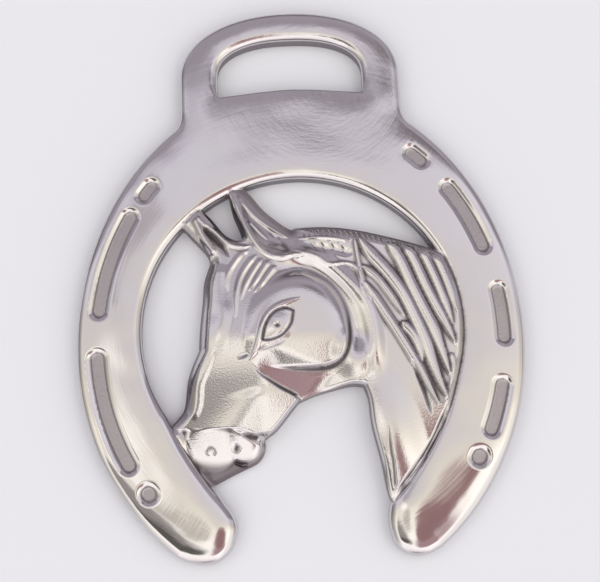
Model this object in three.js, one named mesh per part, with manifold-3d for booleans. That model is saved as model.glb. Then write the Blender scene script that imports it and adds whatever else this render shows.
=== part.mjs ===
// A horse brass: a cast horseshoe with a strap loop on top and a horse's head in relief in its opening.
// It is one casting with a flat back, so it is one solid.
// Millimetres. Seen from the front, +X is to the right, +Y towards the strap loop and +Z out of the face.
// The origin is the middle of the outline, on the flat back, because a loose horse brass lies on its back.
import * as THREE from 'three';
import { mergeVertices } from 'three/addons/utils/BufferGeometryUtils.js';
import Module from 'manifold-3d';

// Driving sizes of the horseshoe plate
const PLATE_THICKNESS = 3.3;
const EDGE_ROUND = 0.75;
const EDGE_ROUND_STEPS = 2;
const SHOE_CENTRE_Y = -11;
const SHOE_HALF_WIDTH = 34.4;
const SHOE_RISE = 42;
const SHOE_DROP = 39.2;
const SHOE_STEPS = 26;

// The opening is a circle whose sides run on as straight tangents to the toes
const OPENING_RADIUS = 24.5;
const OPENING_CENTRE_Y = -9.5;
const OPENING_TANGENT_ANGLE = 32;
const OPENING_STEPS = 40;

// The strap loop, and the slot that the strap goes through
const LOOP_HALF_WIDTH = 18;
const LOOP_ARCH_Y = 33;
const LOOP_ARCH_RISE = 11.6;
const LOOP_ARCH_POWER = 2.15;
const LOOP_STEPS = 12;
const SHOULDER_ANGLE = 34;
const SHOULDER_START = 3.3;
const SHOULDER_PULL = 1;
const SHOULDER_STEPS = 4;
const SLOT_HALF_WIDTH = 11.9;
const SLOT_ARCH_RISE = 6.6;
const SLOT_ARCH_POWER = 2.4;
const SLOT_SILL_CORNER_Y = 29.4;
const SLOT_SILL_MIDDLE_Y = 30.4;
const SLOT_STEPS = 10;
const SILL_STEPS = 3;

// The toes are rounded by hand and differ a little from side to side, as on the casting
const TOE_ANGLE = 146;
const TOE_STEPS = 2;
const RIGHT_TOE = [
  [17.4, -44.35], [15.6, -44.6], [14, -44.1], [12.6, -42.8], [11.9, -40.6], [12, -38], [12.9, -35.6],
];
const LEFT_TOE = [
  [-17.2, -44.3], [-15.1, -44.6], [-13.2, -44.1], [-11.5, -42.6],
  [-10.6, -40.2], [-10.8, -38.2], [-12.2, -35.7],
];

// Nail recesses lie on one oval line, each from one angle to another, measured from the strap loop
const NAIL_LINE_HALF_WIDTH = 31.2;
const NAIL_LINE_RISE = 37;
const NAIL_LINE_DROP = 35;
const NAIL_DEPTH = 0.6;
const NAIL_STEP_ANGLE = 4;
const NAIL_END_STEPS = 5;
const NAILS = [
  { side: -1, from: 47, to: 50, halfWidth: 1.05 },
  { side: -1, from: 57, to: 82, halfWidth: 1.25 },
  { side: -1, from: 94, to: 122.5, halfWidth: 1.25 },
  { side: -1, from: 131.2, to: 131.6, halfWidth: 1.4 },
  { side: 1, from: 37.5, to: 41, halfWidth: 1.05 },
  { side: 1, from: 51.5, to: 69, halfWidth: 1.25 },
  { side: 1, from: 81, to: 92.5, halfWidth: 1.2 },
  { side: 1, from: 105, to: 116.5, halfWidth: 1.2 },
  { side: 1, from: 124.1, to: 124.5, halfWidth: 1.4 },
];

// The head's height above the back, and the roundness of its edge
const HEAD_EDGE_HEIGHT = 2;
const HEAD_EDGE_ROUND = 2;
const HEAD_BODY_HEIGHT = 4;
const SHOE_OVERLAP = 0.25;
const OUTLINE_STEPS = 3;
const STROKE_STEPS = 3;

// The carving's grid is turned to run with the mane, and is finer across the locks than along them
const GRID_TURN = 28;
const GRID_ACROSS = 0.56;
const GRID_ALONG = 0.8;
const THINNEST_STROKE = 0.65;

// The head's outline, as smooth edges that meet at corners. It runs a little way under the shoe.
const HEAD_EDGES = [
  [[-9.6, 14.8], [-7.3, 12.7], [-5, 9.7], [-2.2, 7.2], [-0.8, 6.3]],
  [[-0.8, 6.3], [0.6, 6.5], [4.5, 6.5], [9.4, 5.8], [15.6, 4.1], [22.6, 1.6]],
  [[22.6, 1.6], [25, -4], [25.3, -10], [24.2, -18], [21.6, -22.9], [15.2, -33.6], [12.6, -37.4]],
  [[12.6, -37.4], [11.9, -35.5], [11.2, -30.9], [10.1, -25.4], [9.8, -21.5], [9.2, -19.2]],
  [[9.2, -19.2], [7.5, -19], [1.8, -20.3], [-0.7, -21.3]],
  [[-0.7, -21.3], [-1.8, -22.6], [-4.2, -25.4], [-6.1, -26.7]],
  [[-6.1, -26.7], [-6, -27.8], [-7.3, -30.1], [-8.8, -30.8], [-11.5, -32], [-16, -34.2]],
  [[-16, -34.2], [-18.9, -30], [-21.6, -25.6]],
  [[-21.6, -25.6], [-18.9, -22.8], [-18, -21.2], [-17.6, -17.9], [-15.7, -12.6]],
  [[-15.7, -12.6], [-15.5, -9.5], [-15, -5], [-14.7, -1.8], [-13.7, 1.3]],
  [[-13.7, 1.3], [-14.4, 3], [-16.6, 5.6], [-19, 8.6]],
  [[-19, 8.6], [-16.6, 12]],
  [[-16.6, 12], [-13.5, 8.8], [-11.5, 6.2], [-10.2, 5.2], [-8.5, 5.1]],
  [[-8.5, 5.1], [-9, 6.6], [-10, 9.4], [-11.2, 14.4]],
  [[-11.2, 14.4], [-9.6, 14.8]],
];

// The face stands above the neck, falls away to the forehead and down the nose, and tilts to its front edge
const FACE = { rise: 1.25, startsX: 3, endsX: -6, topY: -12, foreheadY: 6, foreheadFall: 1.2 };
const NOSE = { topY: -14, slope: 0.13, blend: 0.5 };
const FACE_TILT = { startsX: -6, slope: 0.1, earShare: 0.6, earLowY: -6, earHighY: 4 };

// The neck curves down towards the toe
const NECK = { topY: -18, curve: 0.0035, leftX: 7, rightX: 12 };

// The cheek is a broad disc with steeper sides
const CHEEK = { x: -0.3, y: -8.6, left: 9, right: 7.4, up: 8.2, down: 9.3 };
const CHEEK_FORM = { foot: 3.45, rise: 2, shoulder: 1.08, power: 8, blend: 0.5 };

// A flat facet: its height at a place, and its slopes along X and Y.
// Below the cheek the jaw slopes away, behind a crease from the corner of the eye, and rises to the jowl.
const JAW_CREASE = [[-8.9, -13.6], [-6.9, -16.9], [-3.5, -19.5], [-0.3, -21.5]];
const JAW = { x: -3.5, y: -19.5, height: 3.65, slopeX: -0.12, slopeY: 0.22 };
const JOWL = { x: 9.5, y: -17, height: 4, slopeX: 0.13, slopeY: 0.04 };
const JAW_LIP = 0.4;
const JAW_BLEND = 0.5;
const JOWL_BLEND = 0.15;

// The chin is a facet too, with a steeper one at its left and one above it
const CHIN = { x: -6, y: -23, height: 4.05, slopeX: 0, slopeY: 0.15 };
const CHIN_LEFT = { x: -10.9, y: -25.3, height: 0, slopeX: -0.21, slopeY: 0.14 };
const CHIN_TOP = { x: 0, y: -20, height: 0, slopeX: 0, slopeY: 0.5 };
const CHIN_BLEND = 0.4;
const CHIN_BEND = 0.25;

// Rounded swellings: half sizes along and across, turned by an angle, added to the body
const SWELLINGS = [
  { x: 13.3, y: -29, along: 5.5, across: 14, turn: 10, rise: 0.7 },
  { x: 8, y: -14.5, along: 4, across: 4.5, turn: 0, rise: 0.35 },
  { x: -3.5, y: -9.8, along: 3, across: 3, turn: 0, rise: 0.22 },
];

// Below a line across the nose the muzzle's two round lobes stand on a low flange, higher beside the nose
const MUZZLE_LINE = [[-23, -24.6], [-11, -24.8], [-9.7, -25.6], [-3, -25.6]];
const MUZZLE_BEND = 0.5;
const FLANGE = { height: 1, rise: 1.1, lowY: -30.5, highY: -25 };
const MUZZLE_LOBES = [
  { x: -14, y: -27.4, halfWidth: 4.2, above: 9, below: 4.2, height: 2.25, slopeX: 0.07, slopeY: 0.3 },
  { x: -9.4, y: -27.6, halfWidth: 2.9, above: 6, below: 2.9, height: 2.4, slopeX: 0.04, slopeY: 0.3 },
];
const LOBE_POWER = 4;
const LOBE_BLEND = 0.5;

// Ridges, with a rise, and grooves, with a fall. fade is the shares of the length that fade in and out.
const STROKES = [
  { of: 'groove behind the cheek', rise: -0.45, halfWidth: 1.9, fade: [0.3, 0.2],
    path: [[-4.4, -2.3], [0.7, -0.2], [5.5, -3.9], [8.3, -10], [7.6, -16.4]] },
  { of: 'jowl and front of the neck', rise: 0.45, halfWidth: 1.7, fade: [0.05, 0.05],
    path: [[-1, 1.8], [3.4, 0.9], [7.2, -2.3], [10.5, -6.9], [11.4, -14.8], [11.7, -24], [12.3, -36]] },
  { of: 'groove along the neck', rise: -0.35, halfWidth: 0.8, fade: [0.3, 0.05],
    path: [[12.9, -17], [13.1, -23.2], [12.8, -27.7], [12.9, -35]] },
  { of: 'lip groove', rise: -0.7, halfWidth: 0.75, fade: [0.6, 0.01],
    path: [[-11, -25], [-9, -26.1], [-5.6, -27.2]] },
  { of: 'mouth', rise: -0.7, halfWidth: 0.6, fade: [0.1, 0.1],
    path: [[-10.6, -29.6], [-9.9, -30.2], [-8.8, -30.4]] },
  { of: 'nostril', rise: -0.45, halfWidth: 0.75, fade: [0, 0], path: [[-14.3, -28.1], [-14.1, -28.1]] },
  { of: 'nose dimple', rise: -0.65, halfWidth: 0.9, fade: [0, 0], path: [[-10.3, -28.6], [-10.3, -28]] },
  { of: 'upper eyelid', rise: -0.42, halfWidth: 0.4, fade: [0, 0],
    path: [[-6.2, -12.3], [-4.9, -8.9], [-3, -7.3], [-1, -7.7]] },
  { of: 'lower eyelid', rise: -0.36, halfWidth: 0.4, fade: [0, 0],
    path: [[-1, -7.7], [-1.9, -10.3], [-3.9, -11.8], [-6.2, -12.3]] },
  { of: 'pupil', rise: -0.35, halfWidth: 0.6, fade: [0, 0], path: [[-3.6, -9.8], [-3.4, -9.8]] },
  { of: 'brow', rise: 0.25, halfWidth: 0.6, fade: [0.2, 0.1],
    path: [[0.2, -5.7], [-3.8, -7.1], [-5.8, -9.7], [-6.4, -11.7], [-7.9, -15]] },
  { of: 'hollow of the near ear', rise: -1, halfWidth: 1.9, fade: [0.3, 0.25],
    path: [[-8.4, 10.4], [-6.6, 7.4], [-2.9, 3.6]] },
  { of: 'front rim of the near ear', rise: 0.55, halfWidth: 0.75, fade: [0.05, 0.2],
    path: [[-9.8, 13.6], [-8.6, 9.2], [-7, 4.9], [-4.2, 1.7], [-1, 1.6]] },
  { of: 'back rim of the near ear', rise: 0.5, halfWidth: 0.65, fade: [0.05, 0.2],
    path: [[-8.9, 12], [-6.9, 9.2], [-4.9, 7.4], [-1.1, 4.8]] },
  { of: 'rib in the near ear', rise: 0.5, halfWidth: 0.5, fade: [0.05, 0.2],
    path: [[-7.2, 7.6], [-5.4, 5.6], [-4, 4.1]] },
  { of: 'hollow of the far ear', rise: -0.55, halfWidth: 0.8, fade: [0.1, 0.4],
    path: [[-14.6, 7], [-12.9, 5], [-10.6, 1.8]] },
  { of: 'back rim of the far ear', rise: 0.5, halfWidth: 0.6, fade: [0.05, 0.15],
    path: [[-15.6, 8.8], [-13, 6.1], [-10.1, 3.6], [-7.2, 3.4]] },
  { of: 'front rim of the far ear', rise: 0.55, halfWidth: 0.9, fade: [0.05, 0.1],
    path: [[-15.9, 8.4], [-14.6, 5.4], [-12.8, 2.2]] },
  { of: 'border of the clipped mane', rise: 0.3, halfWidth: 0.55, fade: [0.1, 0.1],
    path: [[-0.6, 2.6], [3.2, 1], [5, -0.2], [9, -0.8], [10.2, -5.6]] },
];

// The forelock's strands are spread evenly between a first and a last one
const FORELOCK = { strands: 5, rise: 0.26, halfWidth: 0.65, fade: [0.1, 0.4] };
const FORELOCK_FIRST = [[-7.6, 2.7], [-9.8, 0.7], [-11, -2.2], [-10.9, -5]];
const FORELOCK_LAST = [[-3.4, -0.1], [-4.3, -1.2], [-5.6, -3], [-6.9, -4.6]];

// The mane's long locks are spread evenly from the front one to the one beside the shoe.
// They lie over shorter locks in front.
const LONG_LOCKS = { locks: 5, halfWidth: 1.05, narrowing: 0.25, crown: 4.65 };
const LONG_LOCK_FIRST = [[9.8, 4], [13.6, -1.4], [17.4, -8.6], [19.7, -16.2], [21.7, -22.2]];
const LONG_LOCK_LAST = [[21.3, 1.2], [22.2, -1.4], [23, -4], [23.6, -6.4], [24.2, -9]];
const FRONT_LOCKS = [
  { halfWidth: 0.6, crown: 4.4, path: [[9, 4.2], [9.8, -2.1], [11.2, -6.5]] },
  { halfWidth: 0.9, crown: 4.5, path: [[10.2, -3.2], [14.4, -10.6], [18.2, -18.2], [20.3, -22.8]] },
  { halfWidth: 0.75, crown: 4.45, path: [[10, -0.6], [13.5, -4.5], [16, -9]] },
  { halfWidth: 0.9, crown: 4.5, path: [[15.5, -9.8], [17.5, -12.6], [18.2, -16]] },
];
const LOCK_DEPTH = 0.8;
const LOCK_FALL = 2;
const LOCK_FADE = [0.12, 0.3];
const LOCK_BLEND = 0.12;
const THINNEST_LOCK = 0.01;

// Plated and polished metal
const METAL = { color: 0xc9c5c3, roughness: 0.22, metalness: 1 };

// Points closer than this are one point
const MERGE_DISTANCE = 1e-4;

const wasm = await Module();
wasm.setup();

const radians = THREE.MathUtils.degToRad;
const clamp = THREE.MathUtils.clamp;
const smoothstep = THREE.MathUtils.smoothstep;

// A closed three.js geometry as a solid that can be joined and cut
function solid(geometry) {
  geometry.deleteAttribute('normal');
  geometry.deleteAttribute('uv');
  const merged = mergeVertices(geometry, MERGE_DISTANCE);
  const vertProperties = new Float32Array(merged.attributes.position.array);
  const triVerts = new Uint32Array(merged.index.array);
  return new wasm.Manifold(new wasm.Mesh({ numProp: 3, vertProperties, triVerts }));
}

// A point on an oval about (0, centreY) whose rise above and drop below its widest line differ
function ovalPoint(angle, side, centreY, halfWidth, rise, drop) {
  const up = Math.cos(radians(angle));
  return [side * halfWidth * Math.sin(radians(angle)), centreY + up * (up > 0 ? rise : drop)];
}

// A squarish arch from its right end over the top to its left end
function arch(halfWidth, baseY, rise, power, steps) {
  const points = [];
  for (let i = 0; i <= steps; i += 1) {
    const angle = (Math.PI * i) / steps;
    const across = Math.sign(Math.cos(angle)) * Math.abs(Math.cos(angle)) ** (2 / power);
    points.push([halfWidth * across, baseY + rise * Math.sin(angle) ** (2 / power)]);
  }
  return points;
}

function spline(points, stepsBetween) {
  const curve = new THREE.SplineCurve(points.map(([x, y]) => new THREE.Vector2(x, y)));
  return curve.getPoints(stepsBetween * (points.length - 1)).map((p) => [p.x, p.y]);
}

function vectors(points) {
  return points.map(([x, y]) => new THREE.Vector2(x, y));
}

function mirrored(points) {
  return points.map(([x, y]) => [-x, y]);
}

// Where the opening's circle gives way to the straight side, on the right
function tangentPoint() {
  const angle = radians(OPENING_TANGENT_ANGLE);
  return [OPENING_RADIUS * Math.cos(angle), OPENING_CENTRE_Y - OPENING_RADIUS * Math.sin(angle)];
}

// The opening's round edge, from the right tangent point over the top to the left one
function openingArc() {
  const points = [];
  const sweep = 180 + 2 * OPENING_TANGENT_ANGLE;
  for (let i = 0; i <= OPENING_STEPS; i += 1) {
    const angle = radians(-OPENING_TANGENT_ANGLE + (sweep * i) / OPENING_STEPS);
    points.push([OPENING_RADIUS * Math.cos(angle), OPENING_CENTRE_Y + OPENING_RADIUS * Math.sin(angle)]);
  }
  return points;
}

// One shoulder and outer side of the shoe, on the right, from the strap loop down to the toe
function shoeSide() {
  const corner = ovalPoint(SHOULDER_ANGLE, 1, SHOE_CENTRE_Y, SHOE_HALF_WIDTH, SHOE_RISE, SHOE_DROP);
  const neck = new THREE.QuadraticBezierCurve(
    new THREE.Vector2(LOOP_HALF_WIDTH, corner[1] + SHOULDER_START),
    new THREE.Vector2(LOOP_HALF_WIDTH, corner[1] + SHOULDER_PULL),
    new THREE.Vector2(corner[0], corner[1]),
  );
  const points = neck.getPoints(SHOULDER_STEPS).map((p) => [p.x, p.y]);
  for (let i = 1; i <= SHOE_STEPS; i += 1) {
    const angle = SHOULDER_ANGLE + ((TOE_ANGLE - SHOULDER_ANGLE) * i) / SHOE_STEPS;
    points.push(ovalPoint(angle, 1, SHOE_CENTRE_Y, SHOE_HALF_WIDTH, SHOE_RISE, SHOE_DROP));
  }
  return points;
}

// The rounded end of a toe, from the shoe's outer side to the straight inner side
function toe(outerEnd, knuckles, innerEnd) {
  return spline([outerEnd, ...knuckles, innerEnd], TOE_STEPS).slice(1, -1);
}

function plate() {
  const side = shoeSide();
  const sideEnd = side.at(-1);
  const inner = tangentPoint();
  const rightToe = toe(sideEnd, RIGHT_TOE, inner);
  const leftToe = toe([-sideEnd[0], sideEnd[1]], LEFT_TOE, [-inner[0], inner[1]]);
  const outline = [
    ...side,
    ...rightToe,
    ...openingArc(),
    ...leftToe.reverse(),
    ...mirrored(side).reverse(),
    ...arch(LOOP_HALF_WIDTH, LOOP_ARCH_Y, LOOP_ARCH_RISE, LOOP_ARCH_POWER, LOOP_STEPS).reverse(),
  ];
  const shape = new THREE.Shape(vectors(outline));
  const sill = spline([
    [-SLOT_HALF_WIDTH, SLOT_SILL_CORNER_Y],
    [0, SLOT_SILL_MIDDLE_Y],
    [SLOT_HALF_WIDTH, SLOT_SILL_CORNER_Y],
  ], SILL_STEPS);
  const slot = [...sill, ...arch(SLOT_HALF_WIDTH, LOOP_ARCH_Y, SLOT_ARCH_RISE, SLOT_ARCH_POWER, SLOT_STEPS)];
  shape.holes.push(new THREE.Path(vectors(slot)));
  const rounded = new THREE.ExtrudeGeometry(shape, {
    depth: PLATE_THICKNESS,
    bevelThickness: EDGE_ROUND,
    bevelSize: EDGE_ROUND,
    bevelOffset: -EDGE_ROUND,
    bevelSegments: EDGE_ROUND_STEPS,
  });
  rounded.translate(0, 0, -EDGE_ROUND);
  const front = new THREE.BoxGeometry(4 * SHOE_HALF_WIDTH, 4 * SHOE_RISE, 2 * PLATE_THICKNESS);
  front.translate(0, 0, PLATE_THICKNESS);
  return solid(rounded).intersect(solid(front));
}

// A long recess with round ends that follows the nail line
function nailRecess({ side, from, to, halfWidth }) {
  const steps = Math.max(1, Math.round((to - from) / NAIL_STEP_ANGLE));
  const line = [];
  for (let i = 0; i <= steps; i += 1) {
    const angle = from + ((to - from) * i) / steps;
    line.push(ovalPoint(angle, side, SHOE_CENTRE_Y, NAIL_LINE_HALF_WIDTH, NAIL_LINE_RISE, NAIL_LINE_DROP));
  }
  const outline = [];
  for (const way of [line, [...line].reverse()]) {
    const [x, y] = way.at(-1);
    const [beforeX, beforeY] = way.at(-2);
    const heading = Math.atan2(y - beforeY, x - beforeX);
    for (let i = 1; i + 1 < way.length; i += 1) {
      const outward = Math.atan2(way[i + 1][1] - way[i][1], way[i + 1][0] - way[i][0]) - Math.PI / 2;
      outline.push([way[i][0] + halfWidth * Math.cos(outward), way[i][1] + halfWidth * Math.sin(outward)]);
    }
    for (let i = 0; i <= NAIL_END_STEPS; i += 1) {
      const turn = heading - Math.PI / 2 + (Math.PI * i) / NAIL_END_STEPS;
      outline.push([x + halfWidth * Math.cos(turn), y + halfWidth * Math.sin(turn)]);
    }
  }
  const cutter = new THREE.ExtrudeGeometry(new THREE.Shape(vectors(outline)), {
    depth: PLATE_THICKNESS,
    bevelEnabled: false,
  });
  cutter.translate(0, 0, PLATE_THICKNESS - NAIL_DEPTH);
  return solid(cutter);
}

// How far a point is from a path, how far along the path the nearest point is, and which side it is on
function nearest(path, x, y) {
  let best = Infinity;
  let along = 0;
  let side = 1;
  for (let i = 0; i + 1 < path.length; i += 1) {
    const [ax, ay] = path[i];
    const dx = path[i + 1][0] - ax;
    const dy = path[i + 1][1] - ay;
    const share = clamp(((x - ax) * dx + (y - ay) * dy) / (dx * dx + dy * dy), 0, 1);
    const distance = Math.hypot(x - ax - share * dx, y - ay - share * dy);
    if (distance < best) {
      best = distance;
      along = (i + share) / (path.length - 1);
      side = dx * (y - ay) - dy * (x - ax) >= 0 ? 1 : -1;
    }
  }
  return { distance: best, along, side };
}

function isInside(outline, x, y) {
  let odd = false;
  for (let i = 0; i < outline.length; i += 1) {
    const [ax, ay] = outline[i];
    const [bx, by] = outline[(i + 1) % outline.length];
    if (ay > y !== by > y && x < ax + ((bx - ax) * (y - ay)) / (by - ay)) odd = !odd;
  }
  return odd;
}

// The larger of two heights, with the valley between them filled over a blend height
function blendedMax(a, b, blend) {
  const share = clamp(0.5 + (0.5 * (a - b)) / blend, 0, 1);
  return b + (a - b) * share + blend * share * (1 - share);
}

function roundedEdge(distance, width) {
  return Math.sqrt(1 - (1 - clamp(distance / width, 0, 1)) ** 2);
}

function ridge(distance, halfWidth) {
  return (1 - clamp(distance / halfWidth, 0, 1) ** 2) ** 2;
}

function fadeEnds(along, [fadeIn, fadeOut]) {
  const start = fadeIn > 0 ? Math.min(along / fadeIn, 1) : 1;
  const end = fadeOut > 0 ? Math.min((1 - along) / fadeOut, 1) : 1;
  return Math.sqrt(start * end);
}

// A path part of the way from one guide to another that has as many points
function between(first, last, share) {
  return first.map(([x, y], i) => [x + (last[i][0] - x) * share, y + (last[i][1] - y) * share]);
}

const headOutline = HEAD_EDGES.flatMap((edge) => spline(edge, OUTLINE_STEPS).slice(0, -1));
const closedOutline = [...headOutline, headOutline[0]];
const jawCrease = spline(JAW_CREASE, STROKE_STEPS);

const forelockStrands = Array.from({ length: FORELOCK.strands }, (_, i) => ({
  ...FORELOCK,
  path: between(FORELOCK_FIRST, FORELOCK_LAST, i / (FORELOCK.strands - 1)),
}));

const longLocks = Array.from({ length: LONG_LOCKS.locks }, (_, i) => {
  const share = i / (LONG_LOCKS.locks - 1);
  return {
    halfWidth: LONG_LOCKS.halfWidth - LONG_LOCKS.narrowing * share,
    crown: LONG_LOCKS.crown,
    path: between(LONG_LOCK_FIRST, LONG_LOCK_LAST, share),
  };
});

const smoothed = (stroke) => ({ ...stroke, path: spline(stroke.path, STROKE_STEPS) });
const strokes = [...STROKES, ...forelockStrands].map(smoothed);
const locks = [...FRONT_LOCKS, ...longLocks].map(smoothed);

// How far inside the visible head a point is: inside its outline, and clear of the shoe's inner edge
function depthInHead(x, y) {
  const toOutline = nearest(closedOutline, x, y).distance * (isInside(headOutline, x, y) ? 1 : -1);
  const [tangentX, tangentY] = tangentPoint();
  const angle = radians(OPENING_TANGENT_ANGLE);
  const onStraightSide = y - OPENING_CENTRE_Y < -Math.tan(angle) * Math.abs(x);
  const toStraight = (tangentX - Math.abs(x)) * Math.cos(angle) - (tangentY - y) * Math.sin(angle);
  const toCircle = OPENING_RADIUS - Math.hypot(x, y - OPENING_CENTRE_Y);
  return Math.min(toOutline, (onStraightSide ? toStraight : toCircle) + SHOE_OVERLAP);
}

function cheekHeight(x, y) {
  const across = (x - CHEEK.x) / (x > CHEEK.x ? CHEEK.right : CHEEK.left);
  const upward = (y - CHEEK.y) / (y > CHEEK.y ? CHEEK.up : CHEEK.down);
  const reach = Math.hypot(across, upward) / CHEEK_FORM.shoulder;
  return CHEEK_FORM.foot + CHEEK_FORM.rise / (1 + reach ** CHEEK_FORM.power);
}

function facetHeight({ x: placeX, y: placeY, height, slopeX, slopeY }, x, y) {
  return height + slopeX * (x - placeX) + slopeY * (y - placeY);
}

// The face, from the forehead to the nose, with the chin beside it
function faceHeight(x, y) {
  const onFace = 1 - smoothstep(x, FACE.endsX, FACE.startsX);
  const fall = FACE.foreheadFall * smoothstep(y, FACE.topY, FACE.foreheadY)
    + blendedMax(NOSE.slope * (NOSE.topY - y), 0, NOSE.blend);
  const tiltShare = 1 + (FACE_TILT.earShare - 1) * smoothstep(y, FACE_TILT.earLowY, FACE_TILT.earHighY);
  const tilt = blendedMax(FACE_TILT.slope * (FACE_TILT.startsX - x), 0, FACE_TILT.slope) * tiltShare;
  const height = HEAD_BODY_HEIGHT + (FACE.rise - fall) * onFace - tilt;
  if (onFace === 0) return height;
  const chin = facetHeight(CHIN, x, y)
    - blendedMax(facetHeight(CHIN_LEFT, x, y), 0, CHIN_BEND)
    - blendedMax(facetHeight(CHIN_TOP, x, y), 0, CHIN_BEND);
  return blendedMax(height, chin, CHIN_BLEND);
}

function muzzleHeight(x, y) {
  const flange = FLANGE.height + FLANGE.rise * smoothstep(y, FLANGE.lowY, FLANGE.highY);
  let height = flange;
  for (const lobe of MUZZLE_LOBES) {
    const upward = (y - lobe.y) / (y > lobe.y ? lobe.above : lobe.below);
    const reach = Math.hypot((x - lobe.x) / lobe.halfWidth, upward);
    const round = Math.sqrt(Math.max(0, 1 - reach ** LOBE_POWER));
    height = blendedMax(height, flange + (facetHeight(lobe, x, y) - flange) * round, LOBE_BLEND);
  }
  return height;
}

// The head without its cheek, swellings and hair
function bodyHeight(x, y) {
  let height = faceHeight(x, y);
  const belowLine = nearest(MUZZLE_LINE, x, y);
  if (belowLine.side < 0 && x < FACE.startsX) {
    height += (muzzleHeight(x, y) - height) * smoothstep(belowLine.distance, 0, MUZZLE_BEND);
  }
  height -= NECK.curve * Math.max(0, NECK.topY - y) ** 2 * smoothstep(x, NECK.leftX, NECK.rightX);
  const behindCrease = nearest(jawCrease, x, y);
  if (behindCrease.side > 0) {
    const jaw = blendedMax(facetHeight(JAW, x, y), facetHeight(JOWL, x, y), JOWL_BLEND);
    const lowered = -blendedMax(-height, -jaw, JAW_BLEND);
    height += (lowered - height) * smoothstep(behindCrease.distance, 0, JAW_LIP);
  }
  return height;
}

function swellingRise({ x: middleX, y: middleY, along, across, turn, rise }, x, y) {
  const dx = x - middleX;
  const dy = y - middleY;
  const u = dx * Math.cos(radians(turn)) + dy * Math.sin(radians(turn));
  const v = dy * Math.cos(radians(turn)) - dx * Math.sin(radians(turn));
  return rise * ridge(Math.hypot(u / along, v / across), 1);
}

// A lock is a round-backed strand that tapers to both ends
function lockHeight({ path, halfWidth, crown }, x, y) {
  const { distance, along } = nearest(path, x, y);
  const width = Math.max(halfWidth * fadeEnds(along, LOCK_FADE), THINNEST_LOCK);
  const round = Math.sqrt(Math.max(0, 1 - (distance / width) ** 2));
  return crown - LOCK_DEPTH * (1 - round) - LOCK_FALL * Math.max(0, distance - width);
}

function headHeight(x, y) {
  const depth = depthInHead(x, y);
  if (depth < -2 * GRID_ALONG) return HEAD_EDGE_HEIGHT;
  let height = blendedMax(bodyHeight(x, y), cheekHeight(x, y), CHEEK_FORM.blend);
  for (const swelling of SWELLINGS) height += swellingRise(swelling, x, y);
  for (const { path, halfWidth, rise, fade } of strokes) {
    const { distance, along } = nearest(path, x, y);
    height += rise * ridge(distance, Math.max(halfWidth, THINNEST_STROKE)) * fadeEnds(along, fade);
  }
  for (const lock of locks) height = blendedMax(height, lockHeight(lock, x, y), LOCK_BLEND);
  const edge = Math.min(HEAD_EDGE_HEIGHT, height);
  return edge + (height - edge) * roundedEdge(depth, HEAD_EDGE_ROUND);
}

// The head is a block with a carved top, trimmed to the head's outline
function head() {
  const turn = radians(GRID_TURN);
  const origin = new THREE.Vector2();
  const turnedBack = vectors(headOutline).map((p) => p.rotateAround(origin, -turn));
  const box = new THREE.Box2().setFromPoints(turnedBack).expandByScalar(1);
  const size = box.getSize(new THREE.Vector2());
  const middle = box.getCenter(new THREE.Vector2());
  const columns = Math.ceil(size.x / GRID_ACROSS);
  const rows = Math.ceil(size.y / GRID_ALONG);
  const block = new THREE.BoxGeometry(size.x, size.y, 2, columns, rows, 1);
  block.translate(middle.x, middle.y, 0);
  block.rotateZ(turn);
  const place = block.attributes.position;
  for (let i = 0; i < place.count; i += 1) {
    if (place.getZ(i) > 0) place.setZ(i, headHeight(place.getX(i), place.getY(i)));
  }
  const trim = new THREE.ExtrudeGeometry(new THREE.Shape(vectors(headOutline)), {
    depth: 3 * PLATE_THICKNESS,
    bevelEnabled: false,
  });
  return solid(block).intersect(solid(trim));
}

function horseBrass() {
  let casting = plate();
  for (const nail of NAILS) casting = casting.subtract(nailRecess(nail));
  casting = casting.add(head());
  const { vertProperties, triVerts } = casting.getMesh();
  const geometry = new THREE.BufferGeometry();
  geometry.setAttribute('position', new THREE.BufferAttribute(new Float32Array(vertProperties), 3));
  geometry.setIndex(new THREE.BufferAttribute(new Uint32Array(triVerts), 1));
  geometry.computeVertexNormals();
  const mesh = new THREE.Mesh(geometry, new THREE.MeshStandardMaterial(METAL));
  mesh.name = 'horse_brass';
  return mesh;
}

const part = new THREE.Group();
part.add(horseBrass());

export default part;
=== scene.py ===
import math

import bpy
import numpy as np
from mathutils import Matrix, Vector
from mathutils.bvhtree import BVHTree
from mathutils.geometry import delaunay_2d_cdt


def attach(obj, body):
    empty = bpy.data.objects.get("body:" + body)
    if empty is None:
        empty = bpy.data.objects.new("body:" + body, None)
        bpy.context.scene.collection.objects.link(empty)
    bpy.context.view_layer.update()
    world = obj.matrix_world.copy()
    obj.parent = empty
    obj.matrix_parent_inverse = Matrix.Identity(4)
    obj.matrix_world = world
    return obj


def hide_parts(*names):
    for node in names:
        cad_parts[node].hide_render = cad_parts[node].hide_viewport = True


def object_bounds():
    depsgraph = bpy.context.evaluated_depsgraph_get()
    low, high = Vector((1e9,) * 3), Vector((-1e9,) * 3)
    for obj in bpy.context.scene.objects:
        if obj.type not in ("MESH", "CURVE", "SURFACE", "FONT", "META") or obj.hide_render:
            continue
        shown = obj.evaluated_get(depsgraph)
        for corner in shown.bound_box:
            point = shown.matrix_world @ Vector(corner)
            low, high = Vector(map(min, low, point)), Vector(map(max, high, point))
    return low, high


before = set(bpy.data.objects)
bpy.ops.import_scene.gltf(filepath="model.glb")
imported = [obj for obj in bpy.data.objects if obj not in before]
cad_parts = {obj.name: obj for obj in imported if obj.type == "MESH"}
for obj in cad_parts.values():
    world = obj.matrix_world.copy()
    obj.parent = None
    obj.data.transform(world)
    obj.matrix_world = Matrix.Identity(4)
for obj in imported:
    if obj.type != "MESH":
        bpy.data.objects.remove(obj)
cad_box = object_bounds()

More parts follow.
